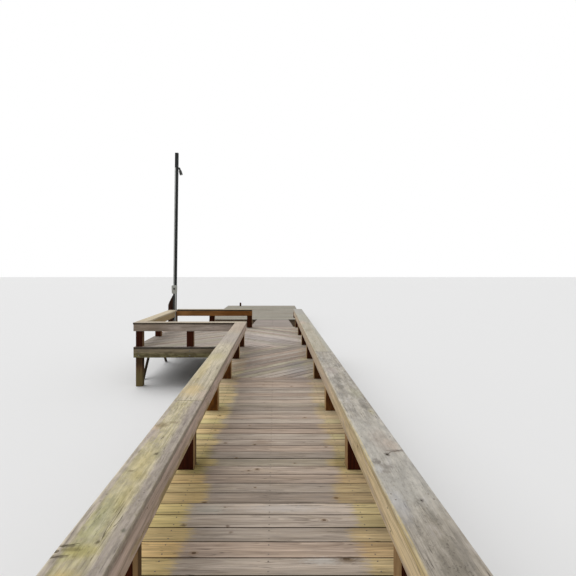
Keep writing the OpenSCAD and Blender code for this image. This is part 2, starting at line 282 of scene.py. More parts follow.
# %% Notes on a board
def note(piece, name, values):
    """Writes one vector for each point of the mesh under this name."""
    mesh = piece.data
    layer = mesh.attributes.get(name) or mesh.attributes.new(name, "FLOAT_VECTOR", "POINT")
    layer.data.foreach_set("vector", [number for value in values for number in value])


def mark_grain(piece, place, draw, knot=None, tone=None):
    """Notes the grain. Place is the matrix that took the board from lying along X to its place."""
    back = place.inverted()
    points = [back @ vertex.co for vertex in piece.data.vertices]
    first = min(point.x for point in points)
    last = max(point.x for point in points)
    centre = (first + last) / 2
    board = (draw.random(), draw.random(), (last - first) / 2)
    if tone:
        board = tone + board[2:]
    spot = (0, 0, 0) if knot is None else (knot[0] - centre, knot[1], knot[2])
    note(piece, "grain", [(point.x - centre, point.y, point.z) for point in points])
    note(piece, "board", [board] * len(points))
    note(piece, "knot", [spot] * len(points))
    return piece


# %% [markdown]
# ## A deck board
# One pattern board, a metre long, is modelled with care: a cube at the board's width and
# thickness, its long edges rounded over as the mill does, then cut into short lengths and drawn
# slightly hollow on top, because no outdoor board stays flat. Every deck board is a copy of it,
# stretched to its length, laid in its place and sawn off where the deck ends.

# %% Pattern board
DECK_BOARD = 0.140
PITCH = 0.146
LENGTHS = 10
HOLLOW = 0.0012

deck_pattern = cube((1, DECK_BOARD, BOARD), (0, 0, -BOARD / 2))
round_edges(deck_pattern, lambda edge: abs(edge_run(deck_pattern, edge).x) > 0.5, 0.004, 2)
for step in range(1, LENGTHS):
    cut_through(deck_pattern, (step / LENGTHS - 0.5, 0, 0), (1, 0, 0))
for side in (-1, 0, 1):
    cut_through(deck_pattern, (0, side * DECK_BOARD / 4, 0), (0, 1, 0))
for vertex in deck_pattern.data.vertices:
    vertex.co.z -= HOLLOW * (1 - (2 * vertex.co.y / DECK_BOARD) ** 2)
print("pattern board", len(deck_pattern.data.polygons), "faces")

# %% [markdown]
# ## A nail
# Deck boards are nailed twice at each joist. A nail's head is a low dome nine millimetres across.
# There are some two thousand of them, so the pattern has only eight sides: a cylinder whose top is
# set in and lifted.

# %% Pattern nail
NAIL_HEAD = 0.0045

nail_pattern = cylinder(8, NAIL_HEAD, 0.003, (0, 0, -0.0010))
pick(nail_pattern, "FACE", lambda face: face.normal.z > 0.9)
bpy.ops.mesh.inset(thickness=NAIL_HEAD * 0.35, depth=0.0007)
done()
print("pattern nail", len(nail_pattern.data.polygons), "faces")

# %% [markdown]
# ## Reading the solids
# A node may hold many solids, such as all the joists of a deck. A copy of its mesh is merged and
# taken apart, and the box round each part tells where one post or joist lies. That is how boards
# know where to leave room and nails where to go.


# %% Reading the solids
def loose_copies(node, flat=False):
    """Copies of a node's solids, one piece each. With flat, their triangles join into faces."""
    twin = copy_of(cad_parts[node])
    twin.hide_viewport = False
    twin.hide_set(False)
    pick_all(twin)
    bpy.ops.mesh.remove_doubles(threshold=0.00001)
    if flat:
        bpy.ops.mesh.dissolve_limited(angle_limit=math.radians(1))
    bpy.ops.mesh.separate(type="LOOSE")
    done()
    return list(bpy.context.selected_objects)


def box_of(piece):
    """The lowest and the highest corner of a piece."""
    points = [vertex.co for vertex in piece.data.vertices]
    return (Vector([min(point[i] for point in points) for i in range(3)]),
            Vector([max(point[i] for point in points) for i in range(3)]))


known_parts = {}


def parts_of(node):
    """The box of each separate solid in a node, from the near end outwards."""
    if node not in known_parts:
        boxes = []
        for part in loose_copies(node):
            boxes.append(box_of(part))
            bin_it(part)
        known_parts[node] = sorted(boxes, key=lambda box: (round(box[0].y, 3), round(box[0].x, 3)))
    return known_parts[node]


def joist_lines(node):
    """Where the middle of each joist lies across the jetty."""
    return [(low.x + high.x) / 2 for low, high in parts_of(node)]


walkway_lines = joist_lines("walkway_joists")
walkway_lines += [sum(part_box(n)[i].x for i in (0, 1)) / 2
                  for n in ("left_rim_joist", "right_rim_joist")]
print(len(parts_of("left_posts")), "left posts,", len(walkway_lines), "joist lines")

# %% [markdown]
# ## Laying a board
# A deck is laid from one side to the other at a pitch of 146 mm, with a few millimetres of gap.
# Each board is a copy of the pattern, a little out of line and out of level. Where a post comes
# up through the deck, the board is notched for it with a Boolean, as the carpenter does with a
# saw. The notes for the grain are written last, worked out backwards from where each point ended
# up, so they are right on the sawn faces too.


# %% Laying a board
def deck_notches(nodes):
    """The boxes that the deck's solid leaves for posts: a little wider than each post."""
    room = Vector((0.003, 0.003, 0.1))
    return [(low - room, high + room) for node in nodes for low, high in parts_of(node)
            if high.z > DECK - BOARD]


def notch(piece, boxes):
    """Cuts out of the piece every box that it touches."""
    low, high = box_of(piece)
    for box_low, box_high in boxes:
        if all(box_low[i] < high[i] and box_high[i] > low[i] for i in range(3)):
            cut_out(piece, cube(box_high - box_low, (box_low + box_high) / 2))


def lay_board(length, place, saws, holes, draw, knots=(), tone=None):
    """One deck board: a copy of the pattern, stretched, laid, sawn, notched and noted."""
    board = copy_of(deck_pattern)
    board.data.transform(place @ Matrix.Diagonal((length, 1, 1, 1)))
    for point, direction in saws:
        cut_through(board, point, direction, drop=True)
        if not board.data.vertices:
            bin_it(board)
            return None
    notch(board, holes)
    back = place.inverted()
    here = None
    for spot, radius in knots:
        local = back @ spot
        if abs(local.y) < DECK_BOARD / 2 and abs(local.x) < length / 2:
            here = (local.x, local.y, radius)
    return mark_grain(board, place, draw, here, tone)


def out_of_line(draw):
    """The small slip, turn and tilt of a board that was laid by hand."""
    slip = Vector((draw.uniform(-0.001, 0.001), draw.uniform(-0.0014, 0.0014),
                   draw.uniform(-0.0009, 0.0002)))
    turn = Matrix.Rotation(draw.uniform(-0.0012, 0.0012), 4, "Z")
    tilt = Matrix.Rotation(draw.uniform(-0.006, 0.006), 4, "X")
    return Matrix.Translation(slip) @ turn @ tilt


walkway_holes = deck_notches(["left_posts", "right_posts", "platform_posts"])
print(len(walkway_holes), "notches")

# %% [markdown]
# ## Nailing a board
# Two nails go in wherever a joist crosses the board. On a diagonal board they follow the joist's
# line, so the place is found by running along the board until that line is met. A nail too near
# the deck's edge or a notch is left out, as it would split the wood.

# %% Nailing a board
NAIL_SPREAD = 0.042
EDGE_ROOM, NOTCH_ROOM, END_ROOM = 0.012, 0.006, 0.010


def nail_spots(place, length, lines, limits, holes):
    """Where two nails go at each joist, with the way that their heads face."""
    turn = place.to_3x3()
    run, up = turn @ Vector((1, 0, 0)), turn @ Vector((0, 0, 1))
    spots = []
    for line in lines:
        for side in (-1, 1):
            start = place @ Vector((0, side * NAIL_SPREAD, 0))
            reach = (line - start.x) / run.x
            spot = start + reach * run
            inside = all(limits[0][i] + EDGE_ROOM < spot[i] < limits[1][i] - EDGE_ROOM
                         for i in (0, 1))
            clear = not any(low[0] - NOTCH_ROOM < spot.x < high[0] + NOTCH_ROOM
                            and low[1] - NOTCH_ROOM < spot.y < high[1] + NOTCH_ROOM
                            for low, high in holes)
            if inside and clear and abs(reach) < length / 2 - END_ROOM:
                spots.append((spot, up))
    return spots


# %% [markdown]
# ## Helpers for shader nodes
# A shader is a tree of small nodes. Adding them one by one takes many lines, so a few helpers do
# the wiring: each adds a node to the tree on the bench, fills its inputs with values or with links
# to other nodes, and gives back the socket that holds the result.


# %% Adding nodes
def from_srgb(colour):
    """A colour given on a 0 to 255 scale, as the linear colour that Blender wants."""
    scaled = [part / 255 for part in colour]
    return tuple(s / 12.92 if s <= 0.04045 else ((s + 0.055) / 1.055) ** 2.4
                 for s in scaled) + (1.0,)


bench = {}


def work_on(tree):
    """Puts a tree on the bench, for the helpers to add to."""
    bench["tree"] = tree
    return tree


def fill(socket, value):
    """Links a socket to another, or sets it to a value."""
    if isinstance(value, bpy.types.NodeSocket):
        socket.id_data.links.new(value, socket)
    else:
        socket.default_value = value


def put(kind, inputs=None, **settings):
    """Adds a shader node, sets its options and fills its inputs."""
    node = bench["tree"].nodes.new("ShaderNode" + kind)
    for name, value in settings.items():
        setattr(node, name, value)
    for name, value in (inputs or {}).items():
        fill(node.inputs[name], value)
    return node


def noise(where, scales, detail, rough=0.5):
    """Noise that is stretched by three scales, from 0 to 1."""
    stretched = vector("MULTIPLY", where, scales)
    return put("TexNoise", {"Vector": stretched, "Scale": 1.0, "Detail": detail,
                            "Roughness": rough}).outputs[0]


def ramp(value, low, high, to_low=0.0, to_high=1.0):
    """Turns a range of values smoothly into another range."""
    return put("MapRange", {"Value": value, "From Min": low, "From Max": high,
                            "To Min": to_low, "To Max": to_high},
               interpolation_type="SMOOTHSTEP").outputs[0]


# %% Arithmetic
def calc(operation, *values):
    """One step of arithmetic."""
    return put("Math", dict(enumerate(values)), operation=operation).outputs[0]


def total(first, *others):
    """Several values added."""
    for value in others:
        first = calc("ADD", first, value)
    return first


def minus(value, amount):
    """One value less another."""
    return calc("SUBTRACT", value, amount)


def product(first, *others):
    """Several values or masks multiplied."""
    for value in others:
        first = calc("MULTIPLY", first, value)
    return first


def vector(operation, *values):
    """One step of vector arithmetic."""
    return put("VectorMath", dict(enumerate(values)), operation=operation).outputs[0]


def distance(run):
    """How long a vector is."""
    return put("VectorMath", {0: run}, operation="LENGTH").outputs["Value"]


def as_vector(x, y, z=0.0):
    """Three numbers made a vector."""
    return put("CombineXYZ", {0: x, 1: y, 2: z}).outputs[0]


def xyz(place):
    """A vector's three numbers."""
    return put("SeparateXYZ", {0: place}).outputs


# %% Colouring
def mix(amount, first, second, blend="MIX"):
    """Mixes two colours."""
    node = put("Mix", {0: amount}, data_type="RGBA", blend_type=blend)
    fill(node.inputs[6], first)
    fill(node.inputs[7], second)
    return node.outputs[2]


def two_tone(amount, first, second):
    """From one colour to another."""
    return mix(amount, from_srgb(first), from_srgb(second))


def paint(mask, colour, over):
    """Lays another colour over this one where the mask is 1."""
    return mix(mask, colour, from_srgb(over) if isinstance(over, tuple) else over)


def tint(mask, colour, factors):
    """Multiplies the colour by three factors where the mask is 1."""
    return mix(mask, colour, factors + (1.0,), "MULTIPLY")


def shaded(mask, colour, shade):
    """Multiplies the colour by one number where the mask is 1."""
    grey = put("CombineColor", {0: shade, 1: shade, 2: shade}).outputs[0]
    return mix(mask, colour, grey, "MULTIPLY")


def coats(colour, *steps):
    """Lays coats over a colour. Each is paint, tint or shaded, its mask and what it lays on."""
    for coat, mask, values in steps:
        colour = coat(mask, colour, values)
    return colour


# %% [markdown]
# ## Wood in the shader
# A saw cuts a board out of a round tree, so its face shows slices of the yearly rings. The group
# below does the same: it measures how far each point lies from a pith line that runs below the
# board, and draws a ring every few millimetres. Slow noise, stretched along the board, bends the
# rings. Round a knot they swing out. The group is built in four steps, and its inputs let each
# kind of timber have its own colours and amounts.

# %% The group's inputs
GRAIN_COLOURS = {"Early Wood": (190, 180, 150), "Late Wood": (120, 98, 68),
                 "Weathered": (160, 155, 150)}
GRAIN_AMOUNTS = {"Weathering": 0.5, "Ring Gap": 0.006, "Rings": 0.5, "Streaks": 0.4,
                 "Checks": 0.5, "Knots": 0.5, "Stain": 0.3, "Variety": 0.5}
GRAIN_INPUTS = ([(name, "Vector", None) for name in ("Grain", "Board", "Knot")]
                + [(name, "Color", from_srgb(rgb)) for name, rgb in GRAIN_COLOURS.items()]
                + [(name, "Float", amount) for name, amount in GRAIN_AMOUNTS.items()])
print(len(GRAIN_INPUTS), "inputs")


# %% Knots and rings
def wood_knots(given, own, along, across):
    """How far the nearest knot is, in its own sizes, and how far the rings swing out round it."""
    place = xyz(given["Knot"])
    size = calc("MAXIMUM", place[2], 0.0001)
    to_knot = as_vector(product(minus(along, place[0]), 0.75), minus(across, place[1]))
    placed = calc("DIVIDE", distance(to_knot), size)
    cell = put("TexVoronoi", {"Vector": vector("MULTIPLY", own, (2.1, 2.8, 0.0)),
                              "Scale": 1.0}, voronoi_dimensions="2D").outputs
    chance = put("SeparateColor", {0: cell["Color"]}).outputs[0]
    strewn_size = product(given["Knots"], ramp(chance, 0.45, 0.95, 0.0001, 0.012))
    strewn = calc("DIVIDE", product(cell["Distance"], 0.4), calc("MAXIMUM", strewn_size, 0.0001))
    swing = total(product(size, ramp(placed, 0.6, 3.6, 1.3, 0.0)),
                  product(strewn_size, ramp(strewn, 0.6, 3.6, 1.3, 0.0)))
    return calc("MINIMUM", placed, strewn), swing


def wood_rings(given, own, place, draws, nearest, swing, eye):
    """The dark late wood of each ring. Tighter rings fill a knot's eye."""
    along, across, up = place
    tilt = product(along, minus(draws[1], 0.5))
    from_pith = as_vector(
        product(tilt, 0.02),
        minus(across, product(minus(draws[0], 0.5), 0.17)),
        total(up, product(draws[1], 0.09), 0.018, product(tilt, 0.05)))
    wander = noise(own, (0.9, 5.0, 5.0), 1.0)
    radius = total(distance(from_pith), swing, product(wander, 0.05))
    turn = calc("FRACT", calc("DIVIDE", radius, given["Ring Gap"]))
    late = product(calc("POWER", turn, 2.5), ramp(turn, 1.0, 0.93))
    knot_rings = calc("FRACT", product(nearest, 3.3))
    return total(product(late, minus(1.0, eye)),
                 product(eye, ramp(knot_rings, 0.0, 1.0, 0.75, 1.0)))


# %% [markdown]
# Fine noise gives the fibres, and thin bands of other noise give streaks and drying cracks. All of
# it is stretched along the board. One number then says how light or dark each place is.


# %% Fibres and shade
def wood_fibres(given, own):
    """Fibres, broad streaks, thin lines and drying cracks."""
    fibre = noise(own, (9.0, 260.0, 260.0), 3.0, 0.6)
    streak = noise(own, (1.1, 26.0, 26.0), 3.0, 0.55)
    line = noise(own, (3.0, 75.0, 75.0), 2.0, 0.55)
    crack = calc("ABSOLUTE", minus(noise(own, (1.6, 60.0, 60.0), 1.5), 0.5))
    where = ramp(noise(own, (2.3, 14.0, 14.0), 2.0), 0.48, 0.60)
    return fibre, streak, line, product(ramp(crack, 0.014, 0.004), where, given["Checks"])


def wood_shade(given, own, late, fibre, streak, line, draw):
    """How light or dark the wood is, by its rings, its fibres and from board to board."""
    streaks = ramp(streak, 0.30, 0.62, -0.38, 0.16)
    lines = ramp(line, 0.28, 0.55, -0.42, 0.10)
    patch = noise(own, (0.9, 3.0, 3.0), 2.0)
    return product(
        minus(1.0, product(late, given["Rings"], 0.30)),
        ramp(fibre, 0.25, 0.75, 0.86, 1.13),
        total(1.0, product(given["Streaks"], streaks)),
        total(1.0, product(given["Streaks"], lines)),
        total(1.0, product(minus(draw, 0.55), given["Variety"], 0.42)),
        ramp(patch, 0.3, 0.7, 0.92, 1.06))


# %% [markdown]
# Sun and rain turn wood grey from its surface in, so the grey lies over the wood in cloudy
# patches. After it come what darkens a board most: stains, knots, cracks and its sawn ends.


# %% The timber group
def wood_colour(given, own, late, streak, shade, draws):
    """New wood, greyed and shaded. Some boards are pinker and some greener."""
    wood = mix(product(late, given["Rings"]), given["Early Wood"], given["Late Wood"])
    clouds = total(product(noise(own, (3.2, 9.0, 9.0), 4.0, 0.6), 0.6), product(streak, 0.4))
    grey = product(given["Weathering"], ramp(clouds, 0.32, 0.62, 0.45, 1.25))
    return coats(
        mix(grey, wood, given["Weathered"]),
        (shaded, 1.0, shade),
        (tint, product(ramp(draws[1], 0.60, 1.0), given["Variety"], 0.8), (1.08, 0.96, 0.90)),
        (tint, product(ramp(draws[1], 0.35, 0.0), given["Variety"], 0.8), (0.96, 1.00, 0.84)))


def timber_group():
    """Builds the wood pattern that every timber material shares."""
    tree = work_on(bpy.data.node_groups.new("timber_grain", "ShaderNodeTree"))
    for name, kind, value in GRAIN_INPUTS:
        socket = tree.interface.new_socket(name, in_out="INPUT", socket_type="NodeSocket" + kind)
        if value is not None:
            socket.default_value = value
    for name, kind in (("Color", "Color"), ("Roughness", "Float"), ("Height", "Float")):
        tree.interface.new_socket(name, in_out="OUTPUT", socket_type="NodeSocket" + kind)
    given = tree.nodes.new("NodeGroupInput").outputs
    place = xyz(given["Grain"])
    *draws, half = xyz(given["Board"])
    own = vector("ADD", given["Grain"], as_vector(
        product(draws[0], 31.0), product(draws[1], 17.0), total(*draws)))
    nearest, swing = wood_knots(given, own, place[0], place[1])
    eye = ramp(nearest, 0.8, 1.05, 1.0, 0.0)
    late = wood_rings(given, own, place, draws, nearest, swing, eye)
    fibre, streak, line, check = wood_fibres(given, own)
    shade = wood_shade(given, own, late, fibre, streak, line, draws[0])
    blots = ramp(noise(own, (5.0, 22.0, 22.0), 5.0, 0.65), 0.56, 0.72)
    to_end = minus(half, calc("ABSOLUTE", place[0]))
    colour = coats(
        wood_colour(given, own, late, streak, shade, draws),
        (paint, product(given["Stain"], blots), (92, 78, 58)),
        (paint, ramp(nearest, 1.0, 2.6, 0.35, 0.0), (132, 104, 66)),
        (paint, product(eye, 0.8), (78, 56, 36)),
        (paint, product(check, 0.85), (48, 40, 32)),
        (paint, ramp(to_end, 0.012, 0.0, 0.0, 0.35), (88, 76, 60)))
    height = minus(total(product(late, 0.0004), product(fibre, 0.0006),
                         product(line, 0.0012)), product(check, 0.0018))
    result = tree.nodes.new("NodeGroupOutput").inputs
    for name, socket in (("Color", colour), ("Height", height),
                         ("Roughness", ramp(fibre, 0.2, 0.8, 0.78, 0.92))):
        fill(result[name], socket)
    return tree


timber_grain = timber_group()
print("timber group", len(timber_grain.nodes), "nodes")

# %% [markdown]
# ## Timber materials
# Each kind of timber is the same group with other colours and amounts. A material may also bring
# a function that paints marks by their place, such as the strip beside a rail that stays yellow.


# %% Timber materials
def timber_material(name, early, late, weathered, amounts, marks=None, gloss=0.25):
    """A material on the timber group. Marks may paint more over the wood's colour."""
    made = bpy.data.materials.new(name)
    made.use_nodes = True
    tree = work_on(made.node_tree)
    shader = tree.nodes["Principled BSDF"]
    notes = {title: put("Attribute", attribute_name=title.lower()).outputs["Vector"]
             for title in ("Grain", "Board", "Knot")}
    group = tree.nodes.new("ShaderNodeGroup")
    group.node_tree = timber_grain
    settings = notes | dict(zip(GRAIN_AMOUNTS, amounts)) | dict(
        zip(GRAIN_COLOURS, map(from_srgb, (early, late, weathered))))
    for title, value in settings.items():
        fill(group.inputs[title], value)
    colour = group.outputs["Color"]
    if marks:
        colour = marks(colour, notes)
    bump = put("Bump", {"Height": group.outputs["Height"], "Distance": 1.0, "Strength": 0.8})
    for title, value in (("Base Color", colour), ("Roughness", group.outputs["Roughness"]),
                         ("Specular IOR Level", gloss), ("Normal", bump.outputs[0])):
        fill(shader.inputs[title], value)
    made.diffuse_color = from_srgb(weathered)
    return made


# %% [markdown]
# ## Masks by place
# A mask is a number from 0 to 1 that says where a mark shows. Most marks on the jetty lie between
# two lines, such as the edges of a rail board, with an uneven edge. Others show only on faces that
# look one way, because the near side of every timber is in shade.


# %% Masks by place
def on_the_jetty():
    """Where a point is on the jetty, measured from its middle, near end and deck."""
    where = put("TexCoord").outputs["Object"]
    return vector("SUBTRACT", where, tuple(on_jetty(0, 0)))


def without(mask):
    """The rest of a mask."""
    return minus(1.0, mask)


def wobble(value, uneven, reach):
    """A value that an uneven noise pushes to and fro."""
    return total(value, product(minus(uneven, 0.5), reach))


def band(value, start, end, soft, most=1.0):
    """A mask that is at its most between start and end and fades over soft on either side."""
    return product(ramp(value, start - soft, start + soft, 0.0, most),
                   ramp(value, end + soft, end - soft))


def facing():
    """Which way a face looks: its share of right, of further out, and of up."""
    return xyz(put("NewGeometry").outputs["Normal"])


def near_faces():
    """A mask of the faces that look towards the near end."""
    return ramp(facing()[1], -0.5, -0.8)


def patches(colour, moved, uneven, spots):
    """Paints ragged round patches. A spot is x, y, half width, half length, strength, colour."""
    for x, y, wide, long, strength, over in spots:
        centred = vector("SUBTRACT", moved, (x, y, 0))
        far = distance(vector("MULTIPLY", centred, (1 / wide, 1 / long, 0)))
        here = ramp(wobble(far, uneven, 2.2), 1.35, 0.25, 0.0, strength)
        colour = paint(here, colour, over)
    return colour


# %% [markdown]
# ## Marks on the deck
# Rain and wear turn the middle of the walkway grey. Beside the rails the boards keep the yellow of
# new wood. Damp dirt gathers where a post comes up through the boards. The sides of the boards,
# down in the gaps, are painted almost black for the shade there, and so are the faces towards
# the near end, for their shade and dark end grain.


# %% Strips and damp
def rail_strip(x, y, level, rough, draw):
    """The strip beside each rail that stays yellow. It starts further in on some boards."""
    start = total(product(draw, 0.11), ramp(x, -0.1, 0.1, 0.39, 0.41))
    past = minus(wobble(calc("ABSOLUTE", x), rough, 0.16), start)
    open_side = product(ramp(x, 0.0, -0.01), ramp(y, 8.85, 8.95))
    return product(ramp(past, 0.0, 0.09), level, ramp(y, 8.8, 3.2, 0.14, 1.0), without(open_side))


def post_damp(x, y, level, rough):
    """The damp round each post, which is the same from bay to bay."""
    bays = calc("DIVIDE", minus(y, FIRST_ROW - NEAR_END + 0.05), BAY)
    from_row = minus(calc("FRACT", total(bays, 0.5)), 0.5)
    from_post = minus(calc("ABSOLUTE", x), 0.60)
    far = distance(as_vector(product(from_row, BAY / 0.20), product(from_post, 1 / 0.10)))
    by_side = calc("MAXIMUM", ramp(y, 4.6, 3.6, 0.08, 1.0), ramp(x, -0.1, 0.1, 0.0, 0.60))
    return product(ramp(wobble(far, rough, 1.3), 1.15, 0.3, 0.0, 0.72),
                   level, ramp(y, 8.8, 8.0), by_side)


# %% Marks on the deck
DECK_STAINS = [
    (0.30, 1.955, 0.12, 0.036, 0.50, (196, 192, 186)),
    (0.43, 1.965, 0.08, 0.026, 0.60, (92, 74, 52)),
    (-0.40, 2.49, 0.13, 0.060, 0.45, (186, 184, 174)),
    (0.10, 2.50, 0.30, 0.050, 0.40, (188, 184, 182)),
    (-0.08, 3.66, 0.11, 0.060, 0.45, (128, 106, 88)),
    (-0.53, 3.42, 0.07, 0.070, 0.45, (104, 102, 70)),
    (-0.55, 3.08, 0.10, 0.070, 0.40, (120, 118, 78)),
    (-0.53, 2.30, 0.020, 0.016, 0.75, (88, 64, 40)),
    (-0.256, 2.29, 0.016, 0.013, 0.70, (84, 62, 42)),
    (-0.442, 2.574, 0.018, 0.015, 0.75, (90, 66, 42)),
    (-0.229, 2.225, 0.014, 0.012, 0.60, (96, 74, 52))]


def deck_marks(colour, notes):
    """The yellow beside the rails, damp round the posts, and painted shade in the gaps."""
    moved = on_the_jetty()
    x, y, z = xyz(moved)
    draws = xyz(notes["Board"])
    third = calc("FRACT", total(product(draws[0], 7.3), product(draws[1], 3.1)))
    rough = noise(notes["Grain"], (14.0, 60.0, 1.0), 3.0)
    browner = noise(notes["Grain"], (2.5, 55.0, 1.0), 2.0)
    rows = noise(moved, (0.5, 3.4, 1.0), 3.0, 0.7)
    level = ramp(z, -0.05, -0.04)
    strip = rail_strip(x, y, level, rough, third)
    lower = ramp(y, 12.35, 12.45, 0.0, 0.9)
    # A painted pool of light on the left strip, a little way out.
    painted_light_pool = product(band(wobble(y, rough, 0.4), 4.2, 5.6, 0.25),
                    ramp(wobble(x, rough, 0.10), -0.42, -0.47), level)
    colour = coats(
        colour,
        # beside the rails, where some boards are greener or browner, and round the posts
        (tint, strip, (1.20, 1.09, 0.73)),
        (tint, product(strip, ramp(third, 0.50, 0.95), 0.8), (0.88, 0.95, 0.84)),
        (tint, product(strip, ramp(browner, 0.58, 0.68, 0.0, 0.45)), (0.86, 0.76, 0.62)),
        (tint, post_damp(x, y, level, rough), (0.62, 0.62, 0.44)),
        # the ramp and the dock, which are greyer and vary from row to row
        (paint, product(lower, 0.55), (150, 146, 137)),
        (tint, lower, (0.88, 0.93, 0.92)),
        (tint, product(lower, ramp(rows, 0.45, 0.62)), (0.80, 0.78, 0.75)),
        (tint, product(lower, ramp(third, 0.3, 0.9)), (0.92, 0.91, 0.90)),
        # further out, painted light on the left strip in the rail's shade, what the sun has
        # bleached, a painted pool of light, then the walked right half
        (tint, band(y, 6.2, 10.4, 0.3, 0.9), (0.90, 0.92, 0.95)),
        (tint, product(ramp(y, 8.4, 11.0, 0.0, 0.9), without(lower)), (1.02, 1.06, 1.12)),
        # Painted light on the left strip, which lies in the left rail's shade.
        (tint, product(strip, ramp(x, 0.0, -0.1)), (1.24, 1.23, 1.08)),
        (tint, product(strip, band(y, 3.5, 7.0, 0.6, 0.8)), (1.10, 1.17, 1.30)),
        (tint, painted_light_pool, (1.18, 1.20, 1.12)),
        (tint, product(band(y, 6.0, 7.4, 0.3), ramp(x, 0.1, 0.4)), (0.84, 0.88, 0.95)),
        # the platform's side, the ramp, and the platform's first boards, painted lighter where the
        # near rail's shade falls
        (tint, product(band(y, 9.0, 10.8, 0.5), ramp(x, -0.85, -0.75)), (1.15, 1.16, 1.21)),
        (tint, band(y, 12.42, 16.95, 0.03), (1.02, 0.95, 1.02)),
        # Painted light where the near rail's shade falls on the platform's first boards.
        (tint, product(band(y, 8.80, 9.22, 0.06), ramp(x, -0.85, -0.95)), (1.34, 1.40, 1.46)))
    blotch = noise(moved, (38.0, 90.0, 30.0), 4.0, 0.6)
    colour = patches(colour, moved, blotch, DECK_STAINS)
    down = xyz(notes["Grain"])[2]
    # Painted shade in the gaps, and painted shade with dark end grain on the faces towards the near
    # end.
    gap = calc("MAXIMUM", product(near_faces(), 0.9), ramp(down, -0.0022, -0.0090, 0.0, 0.92))
    return paint(gap, colour, (40, 32, 23))


# %% [markdown]
# ## Marks on the left rail
# The left rail lies in the shade: its middle is cream and green with algae, and its edges are a
# greyish lilac. Both rails are finely mottled. The nearest boards are large in the photo, so
# their stains are set one by one.


# %% Marks on the left rail
def mottled(colour, moved, where):
    """Light and dark mottling with small dark specks on a flat rail."""
    soft = noise(moved, (42.0, 11.0, 30.0), 5.0, 0.68)
    specks = noise(moved, (150.0, 60.0, 60.0), 2.0, 0.6)
    here = product(where, ramp(specks, 0.62, 0.70), ramp(soft, 0.55, 0.42), 0.55)
    return coats(colour, (shaded, where, ramp(soft, 0.34, 0.66, 0.79, 1.13)),
                 (paint, here, (112, 104, 72)))


LEFT_STAINS = [
    (-0.690, 2.030, 0.060, 0.170, 0.26, (198, 180, 104)),
    (-0.668, 1.850, 0.050, 0.070, 0.32, (182, 164, 88)),
    (-0.665, 1.620, 0.045, 0.150, 0.26, (200, 182, 108)),
    (-0.700, 1.215, 0.075, 0.050, 0.55, (170, 160, 84)),
    (-0.735, 1.225, 0.045, 0.014, 0.70, (112, 104, 66)),
    (-0.765, 1.250, 0.048, 0.012, 0.80, (96, 88, 66)),
    (-0.768, 1.182, 0.048, 0.012, 0.80, (104, 94, 76)),
    (-0.700, 1.05, 0.060, 0.060, 0.45, (196, 170, 92)),
    (-0.757, 2.45, 0.045, 0.160, 0.60, (164, 150, 144)),
    (-0.772, 2.57, 0.030, 0.060, 0.45, (196, 170, 140)),
    (-0.742, 2.62, 0.048, 0.070, 0.65, (124, 108, 70)),
    (-0.670, 2.68, 0.045, 0.030, 0.55, (128, 114, 80)),
    (-0.615, 2.90, 0.060, 0.280, 0.55, (152, 140, 132)),
    (-0.640, 2.12, 0.030, 0.060, 0.50, (122, 118, 92)),
    (-0.750, 3.08, 0.060, 0.110, 0.50, (154, 144, 112)),
    (-0.705, 3.55, 0.095, 0.230, 0.50, (200, 172, 112)),
    (-0.740, 4.40, 0.060, 0.700, 0.40, (202, 184, 128)),
    (-0.690, 5.15, 0.120, 0.300, 0.40, (182, 172, 122)),
    (-0.590, 3.40, 0.045, 0.170, 0.40, (206, 184, 172)),
    (-0.655, 1.272, 0.010, 0.014, 0.85, (92, 84, 54)),
    (-0.583, 1.350, 0.010, 0.017, 0.75, (98, 98, 82)),
    (-0.727, 1.905, 0.020, 0.010, 0.70, (116, 104, 76)),
    (-0.652, 2.130, 0.012, 0.022, 0.80, (90, 82, 60))]


def left_cap_marks(colour, notes):
    """Yellow green in patches down the middle, lilac grey along the edges, stains further out."""
    moved = on_the_jetty()
    x, y, z = xyz(moved)
    uneven = noise(moved, (16.0, 1.6, 6.0), 3.0, 0.6)
    ragged = noise(moved, (60.0, 20.0, 6.0), 4.0, 0.65)
    fine = noise(moved, (150.0, 30.0, 60.0), 3.0, 0.6)
    near = ramp(y, 3.25, 3.18)
    algae = product(near, band(wobble(x, uneven, 0.06), -0.765, -0.632, 0.016),
                    ramp(ragged, 0.36, 0.60, 0.25, 1.0),
                    ramp(uneven, 0.34, 0.58, 0.45, 1.0), 0.50)
    green = product(near, band(wobble(x, ragged, 0.06), -0.752, -0.668, 0.02),
                    band(wobble(y, ragged, 0.6), 1.25, 1.62, 0.12, 0.40))
    inner = product(near, band(wobble(x, ragged, 0.035), -0.620, -0.560, 0.014),
                    ramp(fine, 0.3, 0.7, 0.50, 0.86))
    outer = band(wobble(x, ragged, 0.030), -0.787, -0.764, 0.010, 0.55)
    colour = coats(
        colour,
        (paint, algae, two_tone(fine, (176, 164, 100), (196, 186, 140))),
        (paint, green, (170, 172, 128)),
        (paint, inner, (157, 146, 139)),
        (paint, product(near, outer), (168, 156, 148)),
        (paint, product(near, band(x, -0.800, -0.790, 0.004, 0.60)), (204, 196, 182)),
        (paint, band(wobble(y, ragged, 0.8), 6.2, 7.4, 0.5, 0.60), (166, 156, 152)),
        (paint, ramp(y, 7.2, 7.9, 0.0, 0.60), (182, 164, 150)))
    colour = patches(colour, moved, ragged, LEFT_STAINS)
    colour = mottled(colour, moved, near)
    side = two_tone(ramp(fine, 0.35, 0.65), (158, 146, 136), (136, 124, 112))
    return paint(ramp(z, RAIL_TOP - 0.008, RAIL_TOP - 0.018, 0.0, 0.75), colour, side)
